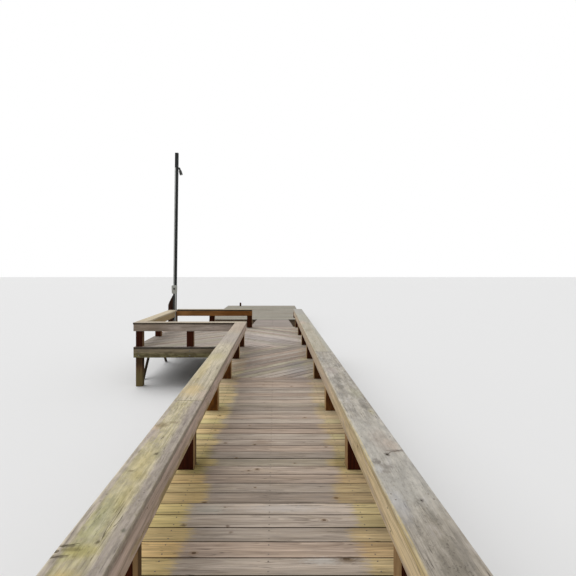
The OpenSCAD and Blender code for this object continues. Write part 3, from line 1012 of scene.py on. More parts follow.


# %% [markdown]
# ## Marks on the right rail
# The right rail gets the sun and is bleached grey, cloudy and speckled, with a margin of cream
# towards the walkway. Further out it is cream. The platform's rails are painted darker on their
# near faces, for the shade there.

# %% Marks on the right rail
RIGHT_STAINS = [
    (0.700, 2.34, 0.075, 0.220, 0.45, (164, 150, 138)),
    (0.752, 2.178, 0.052, 0.020, 0.80, (88, 80, 72)),
    (0.684, 2.125, 0.016, 0.028, 0.80, (80, 72, 64)),
    (0.745, 2.26, 0.045, 0.120, 0.45, (192, 176, 162)),
    (0.605, 2.02, 0.026, 0.045, 0.65, (98, 90, 84)),
    (0.640, 1.96, 0.042, 0.040, 0.55, (112, 104, 96)),
    (0.620, 1.90, 0.045, 0.022, 0.50, (118, 110, 102)),
    (0.590, 1.93, 0.026, 0.050, 0.45, (206, 204, 202)),
    (0.712, 1.595, 0.013, 0.018, 0.75, (92, 84, 78)),
    (0.600, 1.55, 0.040, 0.160, 0.40, (176, 176, 180)),
    (0.745, 3.07, 0.045, 0.100, 0.60, (118, 112, 104)),
    (0.765, 2.92, 0.026, 0.080, 0.40, (170, 164, 130)),
    (0.640, 3.68, 0.050, 0.085, 0.60, (112, 106, 98)),
    (0.660, 4.00, 0.042, 0.055, 0.60, (118, 112, 104)),
    (0.740, 3.45, 0.060, 0.180, 0.35, (160, 158, 128)),
    (0.640, 4.35, 0.070, 0.170, 0.40, (164, 150, 146)),
    (0.650, 7.75, 0.110, 0.170, 0.40, (150, 142, 124)),
    (0.610, 9.00, 0.070, 0.400, 0.40, (192, 168, 150))]


def right_cap_marks(colour, notes):
    """Bleached, cloudy and speckled at first, cream further out, with cream inner edges."""
    moved = on_the_jetty()
    x, y, z = xyz(moved)
    uneven = noise(moved, (18.0, 1.8, 6.0), 3.0, 0.6)
    ragged = noise(moved, (60.0, 30.0, 6.0), 4.0, 0.65)
    clouds = noise(moved, (13.0, 4.2, 6.0), 5.0, 0.65)
    lines = noise(moved, (90.0, 3.0, 90.0), 3.0, 0.6)
    specks = noise(moved, (120.0, 62.0, 60.0), 3.0, 0.65)
    near = ramp(y, 5.55, 5.45)
    beyond = without(near)
    dark_zone = product(near, band(wobble(x, uneven, 0.10), 0.612, 0.735, 0.03),
                        ramp(wobble(y, uneven, 0.7), 1.75, 1.25, 0.35, 1.0),
                        ramp(wobble(y, uneven, 1.2), 3.2, 1.5))
    dots = product(near, ramp(specks, 0.56, 0.66), ramp(clouds, 0.38, 0.54, 0.15, 1.0),
                   total(product(dark_zone, 0.55), 0.22))
    margin = product(band(wobble(x, uneven, 0.016), 0.550, 0.572, 0.007, 0.80),
                     ramp(lines, 0.40, 0.56, 0.25, 1.0), ramp(y, 3.4, 2.0, 0.35, 1.0))
    outer = product(beyond, ramp(wobble(x, uneven, 0.05), 0.725, 0.770),
                    ramp(y, 9.5, 8.5, 0.0, 0.75))
    cream = product(beyond, ramp(ragged, 0.35, 0.6), ramp(y, 9.2, 8.8, 0.0, 0.30))
    colour = coats(
        colour,
        (paint, product(near, ramp(clouds, 0.48, 0.62, 0.0, 0.60)), (142, 137, 130)),
        (paint, product(near, ramp(clouds, 0.44, 0.30, 0.0, 0.55)), (186, 180, 176)),
        (paint, product(dark_zone, ramp(clouds, 0.34, 0.56, 0.15, 0.62)), (124, 119, 108)),
        (paint, product(band(wobble(y, ragged, 0.5), 1.55, 2.75, 0.15, 0.38),
                        near), (190, 187, 180)),
        (paint, dots, (92, 86, 78)),
        (paint, margin, (204, 186, 136)),
        (paint, outer, (172, 172, 168)),
        (paint, cream, (198, 186, 148)),
        (paint, ramp(y, 9.12, 9.18, 0.0, 0.55), (172, 170, 156)),
        (paint, ramp(y, 10.4, 11.6, 0.0, 0.60), (156, 153, 149)))
    colour = patches(colour, moved, ragged, RIGHT_STAINS)
    colour = mottled(colour, moved, product(near, 0.7))
    far = ramp(y, 2.2, 4.5)
    side = mix(ramp(lines, 0.42, 0.60), two_tone(far, (206, 186, 134), (192, 174, 148)),
               two_tone(far, (160, 142, 112), (166, 150, 132)))
    return coats(
        colour, (tint, ramp(y, 1.7, 1.2), (0.92, 0.89, 0.86)),
        (paint, ramp(z, RAIL_TOP - 0.004, RAIL_TOP - 0.012, 0.0, 0.85), side))


def platform_cap_marks(colour, notes):
    """Cream along the side rail, and painted shade on the faces towards the near end."""
    y = xyz(on_the_jetty())[1]
    uneven = noise(notes["Grain"], (5.0, 40.0, 40.0), 3.0)
    # Painted shade on the faces that look towards the near end.
    edge = product(near_faces(), ramp(uneven, 0.2, 0.7, 0.99, 0.86))
    return coats(colour, (paint, band(y, 9.3, 11.9, 0.1, 0.55), (202, 190, 160)),
                 (paint, edge, (50, 38, 28)))


# %% [markdown]
# ## Marks on the boards below the rails
# The side boards under a rail are lit from one side only and have kept most of their own colour:
# lilac grey on the left, cream on the right, tan and orange brown round the platform.


# %% Marks on the side boards
def left_fascia_marks(colour, notes):
    """Lilac grey, with painted shade under the rail and olive blotches along its lower edge."""
    moved = on_the_jetty()
    z = xyz(moved)[2]
    uneven = noise(moved, (6.0, 5.0, 30.0), 3.0, 0.6)
    low = ramp(wobble(z, uneven, 0.10), 0.400, 0.345, 0.0, 0.75)
    blotch = ramp(noise(moved, (6.0, 4.0, 16.0), 3.0), 0.40, 0.58)
    return coats(colour, (paint, product(low, blotch), (152, 134, 84)),
                 # Painted shade along the top, under the rail's flat board.
                 (tint, ramp(z, 0.452, 0.468, 0.0, 0.6), (0.70, 0.66, 0.64)))


def right_fascia_marks(colour, notes):
    """Cream and yellow at the near end, with lilac grey patches that take over further out."""
    moved = on_the_jetty()
    uneven = noise(moved, (6.0, 1.6, 12.0), 3.0, 0.6)
    lines = noise(moved, (6.0, 3.0, 90.0), 3.0, 0.6)
    return coats(
        colour,
        (paint, ramp(uneven, 0.50, 0.62, 0.0, 0.60), (176, 160, 150)),
        (paint, ramp(lines, 0.50, 0.64, 0.0, 0.45), (150, 132, 108)),
        (paint, ramp(xyz(moved)[1], 2.4, 5.0, 0.0, 0.60), (182, 166, 150)))


def platform_fascia_marks(colour, notes):
    """Tan on the faces towards the platform, paler on the near rail's outer side."""
    place = xyz(on_the_jetty())
    uneven = noise(notes["Grain"], (4.0, 14.0, 14.0), 3.0)
    near = product(near_faces(), ramp(place[1], 9.4, 9.3),
                   ramp(wobble(place[0], uneven, 0.3), -2.45, -1.95))
    tan = product(ramp(facing()[0], 0.5, 0.8), ramp(uneven, 0.3, 0.6, 0.6, 0.9))
    return coats(colour, (tint, near, (1.56, 1.64, 1.80)), (paint, tan, (176, 154, 112)))


def far_fascia_marks(colour, notes):
    """Orange brown, paler at the end beside the mast and darker at the walkway."""
    x = xyz(on_the_jetty())[0]
    uneven = noise(notes["Grain"], (4.0, 20.0, 20.0), 3.0)
    dark = ramp(wobble(x, uneven, 0.4), -1.7, -1.2)
    pale = ramp(wobble(x, uneven, 0.5), -2.25, -2.50, 0.0, 0.60)
    return coats(colour, (tint, dark, (0.72, 0.64, 0.50)), (paint, pale, (182, 132, 80)))


# %% [markdown]
# ## Marks on posts and frame
# Posts are painted dark and red-brown on their near faces, for the shade there and a stain, tan on
# the faces towards the walkway, and olive with algae at their feet. The frame below the lower dock
# is painted darker and browner for the shade under the dock.


# %% Marks on posts and frame
def post_marks(colour, notes):
    """Tan sides towards the walkway, near faces painted dark for shade and stain, algae at the
    feet.
    """
    x, y, z = xyz(on_the_jetty())
    uneven = noise(notes["Grain"], (6.0, 20.0, 20.0), 3.0)
    inward = ramp(product(calc("SIGN", x), facing()[0]), -0.5, -0.8)
    above = ramp(z, -0.06, -0.02)
    second = band(y, 0.8, 4.0, 0.3)
    further = product(ramp(y, 3.7, 4.3), ramp(y, 7.4, 5.2, 0.08, 1.0), ramp(x, -1.2, -0.9))
    tan = minus(ramp(x, -1.2, -0.9, 0.35, 0.95),
                total(ramp(x, -0.1, 0.1, 0.0, 0.10), product(second, 0.30)))
    walkway_side_tan = product(inward, above, ramp(uneven, 0.25, 0.55, 0.60, 1.0), tan)
    from_face = calc("DIVIDE", minus(y, FIRST_ROW - POST / 2 - NEAR_END), BAY)
    depth = product(calc("FRACT", from_face), BAY)
    far_half = product(ramp(depth, POST * 0.45, POST * 0.62, 0.0, 0.75),
                       band(x, -0.9, -0.4, 0.1), above, second, inward)
    shore_side = product(near_faces(), ramp(z, -0.30, -0.05))
    # Painted shade with a red-brown stain on the faces towards the near end.
    near_shade_and_stain = product(shore_side, minus(0.98, product(further, 0.10)))
    orange = product(shore_side, further, ramp(x, -0.4, 0.4, 0.75, 0.45),
                     ramp(uneven, 0.3, 0.6, 0.3, 1.0))
    # Painted shade on the near platform posts, under the deck.
    under = product(band(z, -0.40, -0.19, 0.08), ramp(x, -1.4, -1.8))
    return coats(
        colour,
        (paint, walkway_side_tan, two_tone(uneven, (190, 156, 106), (156, 132, 98))),
        (paint, far_half, (52, 36, 18)),
        (tint, near_shade_and_stain, (0.34, 0.13, 0.07)),
        (paint, orange, (140, 92, 38)),
        (tint, under, (0.46, 0.50, 0.46)),
        (paint, ramp(wobble(z, uneven, 0.35), -0.36, -0.66, 0.0, 0.75), (112, 102, 66)))


def near_rim_marks(colour, notes):
    """Olive brown and mottled, paler along the top."""
    moved = on_the_jetty()
    uneven = noise(moved, (9.0, 9.0, 30.0), 4.0, 0.6)
    low = ramp(wobble(xyz(moved)[2], uneven, 0.10), -0.09, -0.16, 0.0, 0.75)
    olive = two_tone(ramp(uneven, 0.4, 0.6), (70, 63, 32), (118, 112, 74))
    return paint(low, colour, olive)


def frame_marks(colour, notes):
    """Painted shade under the lower dock: darker and browner there."""
    y = xyz(on_the_jetty())[1]
    return tint(ramp(y, 16.9, 17.1, 0.0, 0.9), colour, (0.50, 0.42, 0.42))


# %% [markdown]
# ## The timbers' own colours
# Now each material is one call: the colours of early wood, late wood and weathered wood, and the
# amounts of weathering, the ring gap, rings, streaks, checks, knots, stain and variety. The light
# in this scene shows a colour about as it is written, so the colours could be judged.

# %% The timbers' colours
deck_wood = timber_material(
    "deck_wood", (178, 163, 145), (124, 102, 82), (172, 160, 149),
    (0.62, 0.0085, 0.60, 0.60, 0.8, 1.0, 0.25, 0.9), deck_marks)
left_cap_wood = timber_material(
    "left_cap_wood", (192, 182, 156), (158, 142, 112), (180, 170, 151),
    (0.62, 0.012, 0.50, 0.52, 1.0, 0.8, 0.42, 0.2), left_cap_marks)
right_cap_wood = timber_material(
    "right_cap_wood", (188, 179, 163), (156, 144, 124), (175, 170, 161),
    (0.72, 0.011, 0.40, 0.42, 0.9, 0.8, 0.35, 0.2), right_cap_marks)
platform_cap_wood = timber_material(
    "platform_cap_wood", (196, 182, 158), (148, 126, 92), (182, 171, 156),
    (0.55, 0.010, 0.5, 0.55, 0.7, 0.8, 0.35, 0.4), platform_cap_marks)
left_fascia_wood = timber_material(
    "left_fascia_wood", (196, 178, 160), (160, 140, 120), (192, 176, 166),
    (0.75, 0.009, 0.5, 0.55, 0.7, 0.8, 0.4, 0.4), left_fascia_marks)
right_fascia_wood = timber_material(
    "right_fascia_wood", (222, 200, 150), (186, 158, 110), (208, 190, 160),
    (0.5, 0.010, 0.6, 0.5, 0.6, 0.8, 0.3, 0.4), right_fascia_marks)
platform_fascia_wood = timber_material(
    "platform_fascia_wood", (148, 132, 114), (110, 90, 70), (146, 134, 122),
    (0.6, 0.009, 0.6, 0.7, 0.7, 0.8, 0.5, 0.5), platform_fascia_marks)
far_fascia_wood = timber_material(
    "far_fascia_wood", (168, 114, 56), (112, 70, 32), (150, 108, 64),
    (0.35, 0.009, 0.7, 0.7, 0.6, 0.8, 0.4, 0.6), far_fascia_marks)
post_wood = timber_material(
    "post_wood", (108, 74, 50), (54, 32, 20), (96, 74, 56),
    (0.4, 0.008, 0.7, 0.9, 1.0, 0.6, 0.5, 0.8), post_marks, 0.10)
frame_wood = timber_material(
    "frame_wood", (134, 120, 90), (86, 70, 48), (122, 112, 96),
    (0.5, 0.008, 0.6, 0.8, 0.8, 0.7, 0.6, 0.8), frame_marks)
near_rim_wood = timber_material(
    "near_rim_wood", (134, 122, 96), (92, 78, 54), (132, 122, 104),
    (0.5, 0.008, 0.6, 0.8, 0.8, 0.7, 0.6, 0.3), near_rim_marks)
mast_wood = timber_material(
    "mast_wood", (56, 58, 57), (26, 26, 26), (46, 51, 52),
    (0.5, 0.007, 0.6, 0.8, 0.9, 0.5, 0.3, 0.3))
pile_wood = timber_material(
    "pile_wood", (64, 38, 25), (28, 15, 9), (51, 34, 25),
    (0.4, 0.006, 0.8, 0.9, 1.0, 0.7, 0.4, 0.3), gloss=0.10)
brace_wood = timber_material(
    "brace_wood", (62, 50, 38), (32, 24, 17), (56, 47, 37),
    (0.5, 0.008, 0.6, 0.8, 0.8, 0.5, 0.5, 0.5), gloss=0.10)
print("timber materials", [m.name for m in bpy.data.materials])

# %% [markdown]
# ## Metal and plastic
# Galvanised steel is a mottled grey, the switch box is dull grey plastic, the lamp is dark paint,
# and its lens is frosted glass. Each needs only a little noise.


# %% Other materials
def plain_material(name, first, second, metal, rough, scale=40.0):
    """Two colours in fine clouds, for metal, paint and plastic."""
    made = bpy.data.materials.new(name)
    made.use_nodes = True
    tree = work_on(made.node_tree)
    where = put("TexCoord").outputs["Object"]
    cloud = noise(where, (scale, scale, scale), 4.0, 0.6)
    shader = tree.nodes["Principled BSDF"]
    for title, value in (
            ("Base Color", two_tone(ramp(cloud, 0.35, 0.65), first, second)),
            ("Roughness", ramp(cloud, 0.3, 0.7, rough - 0.1, rough + 0.1)),
            ("Metallic", metal)):
        fill(shader.inputs[title], value)
    made.diffuse_color = from_srgb(first)
    return made


nail_metal = plain_material("nail_metal", (92, 82, 72), (130, 122, 112), 0.6, 0.5, 300.0)
bolt_metal = plain_material("bolt_metal", (128, 126, 122), (92, 80, 68), 0.7, 0.5, 120.0)
conduit_metal = plain_material("conduit_metal", (198, 201, 199), (178, 181, 179), 0.0, 0.5)
box_plastic = plain_material("box_plastic", (172, 174, 168), (162, 163, 156), 0.0, 0.55, 26.0)
lamp_metal = plain_material("lamp_metal", (46, 48, 48), (62, 62, 58), 0.3, 0.45)
lamp_glass = plain_material("lamp_glass", (214, 218, 212), (196, 200, 192), 0.0, 0.25)
print(len(bpy.data.materials), "materials")

# %% [markdown]
# ## Boards across a deck
# The walkway's first boards, the ramp's and the dock's all lie across their deck. One helper lays
# a board at each place that it is given, and saws the boards at the deck's two ends.


# %% Boards across a deck
def row_middles(first, reach):
    """How far out the middle of each board lies, to cover this reach but for a sliver."""
    sliver = 0.01
    count = math.ceil((reach - sliver - first) / PITCH + 0.5)
    return [first + row * PITCH for row in range(count)]


def cross_boards(centres, limits, wide, lines, draw, turn=Matrix(), gap=0.0, holes=(), knots=(),
                 tones=None):
    """A board across the deck at each centre, and the spots for the nails."""
    low, high = limits
    saws = ((Vector((0, low.y, 0)), (0, -1, 0)), (Vector((0, high.y - gap, 0)), (0, 1, 0)))
    laid, spots = [], []
    for row, centre in enumerate(centres):
        place = Matrix.Translation(centre) @ turn @ out_of_line(draw)
        at_end = not low.y + PITCH < centre.y < high.y - PITCH
        laid.append(lay_board(wide - draw.uniform(0, 0.006), place, saws if at_end else (),
                              holes, draw, knots, (tones or {}).get(row)))
        spots += nail_spots(place, high.x - low.x, lines, limits, holes)
    return laid, spots


# %% [markdown]
# ## The walkway's straight boards
# The gaps were counted off in the photo, so the first board is ripped narrow and the last one ends
# at the mitre where the diagonal boards begin. Knots are placed where the photo shows them, and
# the boards that stand out there by their tone keep it.

# %% Straight deck
FIRST_GAP = 0.084
MITRE_GAP = 0.002
DECK_KNOTS = [(-0.523, 2.305, 9), (-0.256, 2.290, 8), (-0.442, 2.574, 9), (-0.297, 2.514, 7),
              (0.460, 2.638, 12), (0.346, 2.358, 10), (0.425, 1.971, 15), (-0.604, 4.320, 9),
              (-0.148, 3.597, 9), (-0.172, 3.070, 7), (-0.289, 3.310, 8), (0.303, 4.050, 9),
              (0.492, 3.550, 9), (-0.222, 4.110, 7), (-0.117, 5.760, 9)]
BOARD_TONES = {13: (0.72, 0.45), 14: (0.78, 0.92), 15: (0.42, 0.40), 16: (0.66, 0.66),
               17: (1.00, 0.50), 18: (0.10, 0.74), 19: (0.46, 0.55), 20: (0.40, 0.84),
               21: (0.74, 0.78), 22: (0.22, 0.16), 23: (0.12, 0.62), 24: (0.30, 0.86),
               25: (0.58, 0.70), 26: (0.84, 0.58), 27: (0.66, 0.90)}

boards, nails = cross_boards(
    [on_jetty(0, y) for y in row_middles(FIRST_GAP - PITCH / 2, deck_high.y - NEAR_END)],
    (deck_low, deck_high), deck_high.x - deck_low.x, walkway_lines, random.Random(2),
    gap=MITRE_GAP, holes=walkway_holes,
    knots=[(on_jetty(x, y), r / 1000) for x, y, r in DECK_KNOTS], tones=BOARD_TONES)
finish_piece(join_as("straight_boards", boards), deck_wood, ("straight_deck",))

# %% [markdown]
# ## The diagonal boards
# Further out the boards lie at 45 degrees, which ties the frame like a brace. They run from near
# left to far right as far as the platform, and the other way beside it. Each field is laid with
# boards that are too long, and every board is then sawn off along the field's four sides, just as
# a carpenter lets the ends run wild and cuts them in one line.


# %% Diagonal boards
def diagonal_boards(low, high, lean, lines, draw):
    """Lays boards at 45 degrees over a rectangle. Lean is 1 for near left to far right, or -1."""
    turn = Matrix.Rotation(math.radians(45 * lean), 4, "Z")
    width = high.x - low.x
    length = width * math.sqrt(2) + 0.34
    sides = [(low, (-1, 0, 0)), (low, (0, -1, 0)), (high, (1, 0, 0)), (high, (0, 1, 0))]
    laid, spots = [], []
    y = low.y - width / 2
    while y < high.y + width / 2 + PITCH:
        place = Matrix.Translation(((low.x + high.x) / 2, y, DECK)) @ turn @ out_of_line(draw)
        board = lay_board(length, place, sides, walkway_holes, draw)
        if board:
            laid.append(board)
            spots += nail_spots(place, length, lines, (low, high), walkway_holes)
        y += PITCH * math.sqrt(2)
    return laid, spots


# %% Diagonal decks
BUTT = 0.003
diagonal_low, diagonal_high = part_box("diagonal_deck")
platform_low, platform_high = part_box("platform_deck")
turn_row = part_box("near_rail_cap")
turn_y = (turn_row[0].y + turn_row[1].y) / 2
near_field = (diagonal_low + Vector((0, BUTT / 2, 0)),
              Vector((diagonal_high.x, turn_y - BUTT / 2, diagonal_high.z)))
far_field = (Vector((diagonal_low.x, turn_y + BUTT / 2, diagonal_low.z)), diagonal_high)
platform_field = (platform_low, platform_high - Vector((BUTT, 0, 0)))
platform_lines = joist_lines("platform_joists")
platform_lines += [platform_low.x + BOARD / 2, platform_high.x - BOARD / 2]

draw = random.Random(5)
near_boards, near_nails = diagonal_boards(*near_field, 1, walkway_lines, draw)
far_boards, far_nails = diagonal_boards(*far_field, -1, walkway_lines, draw)
finish_piece(join_as("diagonal_walk_boards", near_boards + far_boards), deck_wood,
             ("diagonal_deck",))
boards, platform_nails = diagonal_boards(*platform_field, 1, platform_lines, draw)
nails += near_nails + far_nails + platform_nails
finish_piece(join_as("platform_boards", boards), deck_wood, ("platform_deck",))

# %% [markdown]
# ## The ramp and the lower dock
# The ramp's boards lie across on its slope, and the dock's lie across its whole width. They are
# far from the camera, but from the side they are as close as the others.

# %% Ramp and dock
ramp_low, ramp_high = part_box("ramp_deck")
dock_low, dock_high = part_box("dock_deck")
DOCK_SHORT = 0.003

draw = random.Random(8)
fall, run = ramp_high.z - ramp_low.z - BOARD, ramp_high.y - ramp_low.y
slope = math.atan2(fall, run)
down = Vector((0, math.cos(slope), -math.sin(slope)))
ramp_head = Vector(((ramp_low.x + ramp_high.x) / 2, ramp_low.y, ramp_high.z))
boards, ramp_nails = cross_boards(
    [ramp_head + down * reach for reach in row_middles(PITCH / 2, math.hypot(fall, run))],
    (ramp_low, ramp_high), ramp_high.x - ramp_low.x, joist_lines("ramp_stringers"), draw,
    Matrix.Rotation(-slope, 4, "X"))
finish_piece(join_as("ramp_boards", boards), deck_wood, ("ramp_deck",))

dock_middle = (dock_low.x + dock_high.x) / 2
boards, dock_nails = cross_boards(
    [Vector((dock_middle, dock_low.y + reach, dock_high.z))
     for reach in row_middles(PITCH / 2, dock_high.y - dock_low.y)],
    (dock_low, dock_high), dock_high.x - dock_low.x - DOCK_SHORT,
    joist_lines("dock_joists") + joist_lines("dock_side_rims"), draw)
nails += ramp_nails + dock_nails
finish_piece(join_as("dock_boards", boards), deck_wood, ("dock_deck",))
bin_it(deck_pattern)

# %% [markdown]
# ## Squared timber
# Posts, beams, joists and rail boards are all squared timber: a cube of the right size with its
# edges rounded. Each size is modelled once, lying along X, and every piece of that size is a copy
# turned into its place. The turn also tells the grain which way to run.


# %% Squared timber
timber_patterns = {}


def timber_pattern(*key):
    """The timber of this size, lying along X. It is made the first time that it is asked for."""
    if key not in timber_patterns:
        timber_patterns[key] = cube(key[:3])
        round_edges(timber_patterns[key], lambda edge: True, key[3], 2)
    return timber_patterns[key]


def timber_at(low, high, draw, round_over, flaws):
    """A copy of the pattern of this size, turned so that it lies in the box from low to high."""
    size = high - low
    order = sorted(range(3), key=lambda i: -size[i])
    axes = [Vector([1.0 if i == axis else 0.0 for i in range(3)]) for axis in order]
    if axes[0].cross(axes[1]).dot(axes[2]) < 0:
        axes[1].negate()
    place = Matrix.Translation((low + high) / 2) @ Matrix(axes).transposed().to_4x4()
    piece = copy_of(timber_pattern(*(round(size[i], 4) for i in order), round_over))
    piece.data.transform(place)
    for make_flaw, spot, *sizes in flaws:
        if low.x - 0.02 < spot.x < high.x + 0.02 and low.y < spot.y < high.y:
            make_flaw(piece, spot, *sizes)
    return mark_grain(piece, place, draw)


def timbers(node, finish, draw, round_over=0.003, flaws=()):
    """One piece with a squared timber for each solid of this node."""
    pieces = [timber_at(low, high, draw, round_over, flaws) for low, high in parts_of(node)]
    finish_piece(join_as(node + "_timber", pieces), finish, (node,))


# %% Posts and frame
draw = random.Random(11)
for node in ("left_posts", "right_posts", "platform_posts", "dock_left_posts", "dock_right_posts"):
    timbers(node, post_wood, draw, 0.005)
timbers("mooring_posts", post_wood, draw, 0.013)
for node in ("walkway_cross_beams", "platform_cross_beams", "end_cross_beams",
             "left_rim_joist", "right_rim_joist", "shore_header", "walkway_joists",
             "platform_side_rim", "far_rim", "platform_joists",
             "dock_cross_beams", "dock_end_rims", "dock_side_rims", "dock_joists"):
    timbers(node, frame_wood, draw)
timbers("platform_near_rim", near_rim_wood, draw)
for node, wood in (("left_rail_fascias", left_fascia_wood),
                   ("right_rail_fascias", right_fascia_wood),
                   ("near_rail_fascias", platform_fascia_wood),
                   ("side_rail_fascias", platform_fascia_wood),
                   ("far_rail_fascias", far_fascia_wood)):
    timbers(node, wood, draw)
print(len(timber_patterns), "sizes of timber")

# %% [markdown]
# ## Splits and lost knots in the rails
# A flat rail holds the rain, so it splits at its ends and round its knots. A split is a thin wedge
# that a Boolean takes out, and a lost knot is a short uneven cone. They are few, so each is given
# by its place on the jetty, as the photo shows it, and the notes for the grain come after them.


# %% Splits and lost knots
def split(piece, start, end, wide, deep):
    """Cuts a crack with steep sides into the top of a timber, from one place to the other."""
    run = end - start
    cutter = cube((run.length + wide * 0.8, wide, 2 * deep))
    pick(cutter, "FACE", lambda face: face.normal.z < -0.9)
    bpy.ops.transform.resize(value=(0.8, 0.15, 1), center_override=(0, 0, -deep))
    done()
    turn = Matrix.Rotation(math.atan2(run.y, run.x), 4, "Z")
    cutter.data.transform(Matrix.Translation((start + end) / 2) @ turn)
    cut_out(piece, cutter)


def knot_hole(piece, centre, radius, deep):
    """Cuts a lost knot's hole, with an uneven rim."""
    cutter = cylinder(11, radius, 2 * deep, centre)
    for vertex in cutter.data.vertices:
        angle = math.atan2(vertex.co.y - centre.y, vertex.co.x - centre.x)
        swell = 1 + 0.16 * math.sin(3 * angle + 9 * centre.x)
        narrow = 1.0 if vertex.co.z > centre.z else 0.55
        vertex.co.x = centre.x + (vertex.co.x - centre.x) * swell * narrow
        vertex.co.y = centre.y + (vertex.co.y - centre.y) * swell * narrow * 1.25
    cut_out(piece, cutter)


def rail_split(wide, *points):
    """A row of short splits, a little out of line, that follow these places on the rails."""
    deep = 0.012
    wander = random.Random(len(points) + round(abs(points[0][1]) * 100))
    places = [on_jetty(*points[0], RAIL_TOP)]
    for (x, y), (next_x, next_y) in zip(points, points[1:]):
        for share in (0.36, 0.7, 1.0):
            slip = 0.0026 if share < 1 else 0.0
            places.append(on_jetty(x + (next_x - x) * share + wander.uniform(-slip, slip),
                                   y + (next_y - y) * share + wander.uniform(-slip, slip),
                                   RAIL_TOP))
    return [(split, start, end, wide * wander.uniform(0.7, 1.15), deep)
            for start, end in zip(places, places[1:])]


def rail_knot(x, y, radius, deep):
    """A lost knot at a place on the rails."""
    return [(knot_hole, on_jetty(x, y, RAIL_TOP), radius, deep)]


# %% Rail boards
left_flaws = (rail_split(0.0062, (-0.800, 1.240), (-0.765, 1.255), (-0.722, 1.264))
              + rail_split(0.0056, (-0.800, 1.172), (-0.760, 1.188), (-0.728, 1.194))
              + rail_split(0.0030, (-0.700, 3.218), (-0.705, 3.120), (-0.698, 3.050))
              + rail_split(0.0030, (-0.640, 3.217), (-0.636, 3.290))
              + rail_split(0.0040, (-0.735, 7.720), (-0.730, 7.600))
              + rail_knot(-0.789, 1.215, 0.0115, 0.016))
right_flaws = (rail_split(0.0078, (0.800, 2.200), (0.752, 2.172), (0.712, 2.158), (0.690, 2.128))
               + rail_split(0.0080, (0.800, 4.092), (0.745, 4.080), (0.715, 4.086))
               + rail_split(0.0040, (0.655, 5.488), (0.660, 5.390), (0.655, 5.320))
               + rail_split(0.0040, (0.735, 5.491), (0.730, 5.580))
               + rail_split(0.0050, (0.700, 9.150), (0.706, 9.040))
               + rail_knot(0.684, 2.118, 0.0115, 0.014)
               + rail_knot(0.712, 1.595, 0.0060, 0.008))
for node, wood, flaws in (("left_rail_cap", left_cap_wood, left_flaws),
                          ("right_rail_cap", right_cap_wood, right_flaws),
                          ("near_rail_cap", platform_cap_wood, ()),
                          ("side_rail_cap", platform_cap_wood, ()),
                          ("far_rail_cap", platform_cap_wood, ())):
    timbers(node, wood, draw, 0.006, flaws)
for pattern in timber_patterns.values():
    bin_it(pattern)

# %% [markdown]
# ## Timber that doesn't lie square
# The ramp's stringers, the knee braces and the leaning mast aren't boxes. Their solids are copied,
# their triangles joined back into flat faces, and their edges rounded.


# %% Sloping timber
def turn_to(run, axis="Z", up="Y"):
    """The turn that lays one axis along a direction."""
    return run.to_track_quat(axis, up).to_matrix().to_4x4()


def sloping(node, run, finish, draw, round_over=0.003):
    """Rounded copies of a node's solids, with the grain along the given direction."""
    pieces = loose_copies(node, flat=True)
    for piece in pieces:
        apply(piece, "BEVEL", width=round_over, segments=2, limit_method="ANGLE",
              angle_limit=math.radians(30))
        centre = sum((v.co for v in piece.data.vertices), Vector()) / len(piece.data.vertices)
        turn = turn_to(run, "X", "Y" if abs(run.z) > 0.9 else "Z")
        mark_grain(piece, Matrix.Translation(centre) @ turn, draw)
    finish_piece(join_as(node + "_timber", pieces), finish, (node,))


draw = random.Random(17)
sloping("ramp_stringers", down, frame_wood, draw)
sloping("side_braces", Vector((0, 1, 1)).normalized(), brace_wood, draw)
sloping("mast", Vector((0, 0, 1)), mast_wood, draw, 0.006)

# %% [markdown]
# ## Nails
# All the nails are one piece. A mesh of loose points holds their places, and a small geometry
# nodes group puts a copy of the pattern nail on each point and makes the copies real.


# %% Strewing small parts
def strew(name, pattern, spots):
    """One piece with a copy of the pattern at each spot, its top facing the spot's direction."""
    mesh = bpy.data.meshes.new(name)
    mesh.vertices.add(len(spots))
    mesh.vertices.foreach_set("co", [number for spot, facing in spots for number in spot])
    piece = bpy.data.objects.new(name, mesh)
    bpy.context.scene.collection.objects.link(piece)
    note(piece, "facing", [facing.to_track_quat("Z", "Y").to_euler() for spot, facing in spots])
    tree = bpy.data.node_groups.new("strew_" + name, "GeometryNodeTree")
    for way in ("INPUT", "OUTPUT"):
        tree.interface.new_socket("Geometry", in_out=way, socket_type="NodeSocketGeometry")
    given, result = tree.nodes.new("NodeGroupInput"), tree.nodes.new("NodeGroupOutput")
    source = tree.nodes.new("GeometryNodeObjectInfo")
    source.inputs["Object"].default_value = pattern
    facing = tree.nodes.new("GeometryNodeInputNamedAttribute")
    facing.data_type = "FLOAT_VECTOR"
    facing.inputs["Name"].default_value = "facing"
    turned = tree.nodes.new("FunctionNodeEulerToRotation")
    place = tree.nodes.new("GeometryNodeInstanceOnPoints")
    real = tree.nodes.new("GeometryNodeRealizeInstances")
    for start, end in ((given.outputs[0], place.inputs["Points"]),
                       (source.outputs["Geometry"], place.inputs["Instance"]),
                       (facing.outputs[0], turned.inputs[0]),
                       (turned.outputs[0], place.inputs["Rotation"]),
                       (place.outputs[0], real.inputs[0]), (real.outputs[0], result.inputs[0])):
        tree.links.new(start, end)
    apply(piece, "NODES", node_group=tree)
    return piece


finish_piece(strew("deck_nails", nail_pattern, nails), nail_metal)
print(len(nails), "nails")

# %% [markdown]
# ## Fixings on side boards and beams
# A nail or bolt goes wherever a board touches a post, on the face that looks away from it. A place
# that would stand out past the jetty's own box is left out.


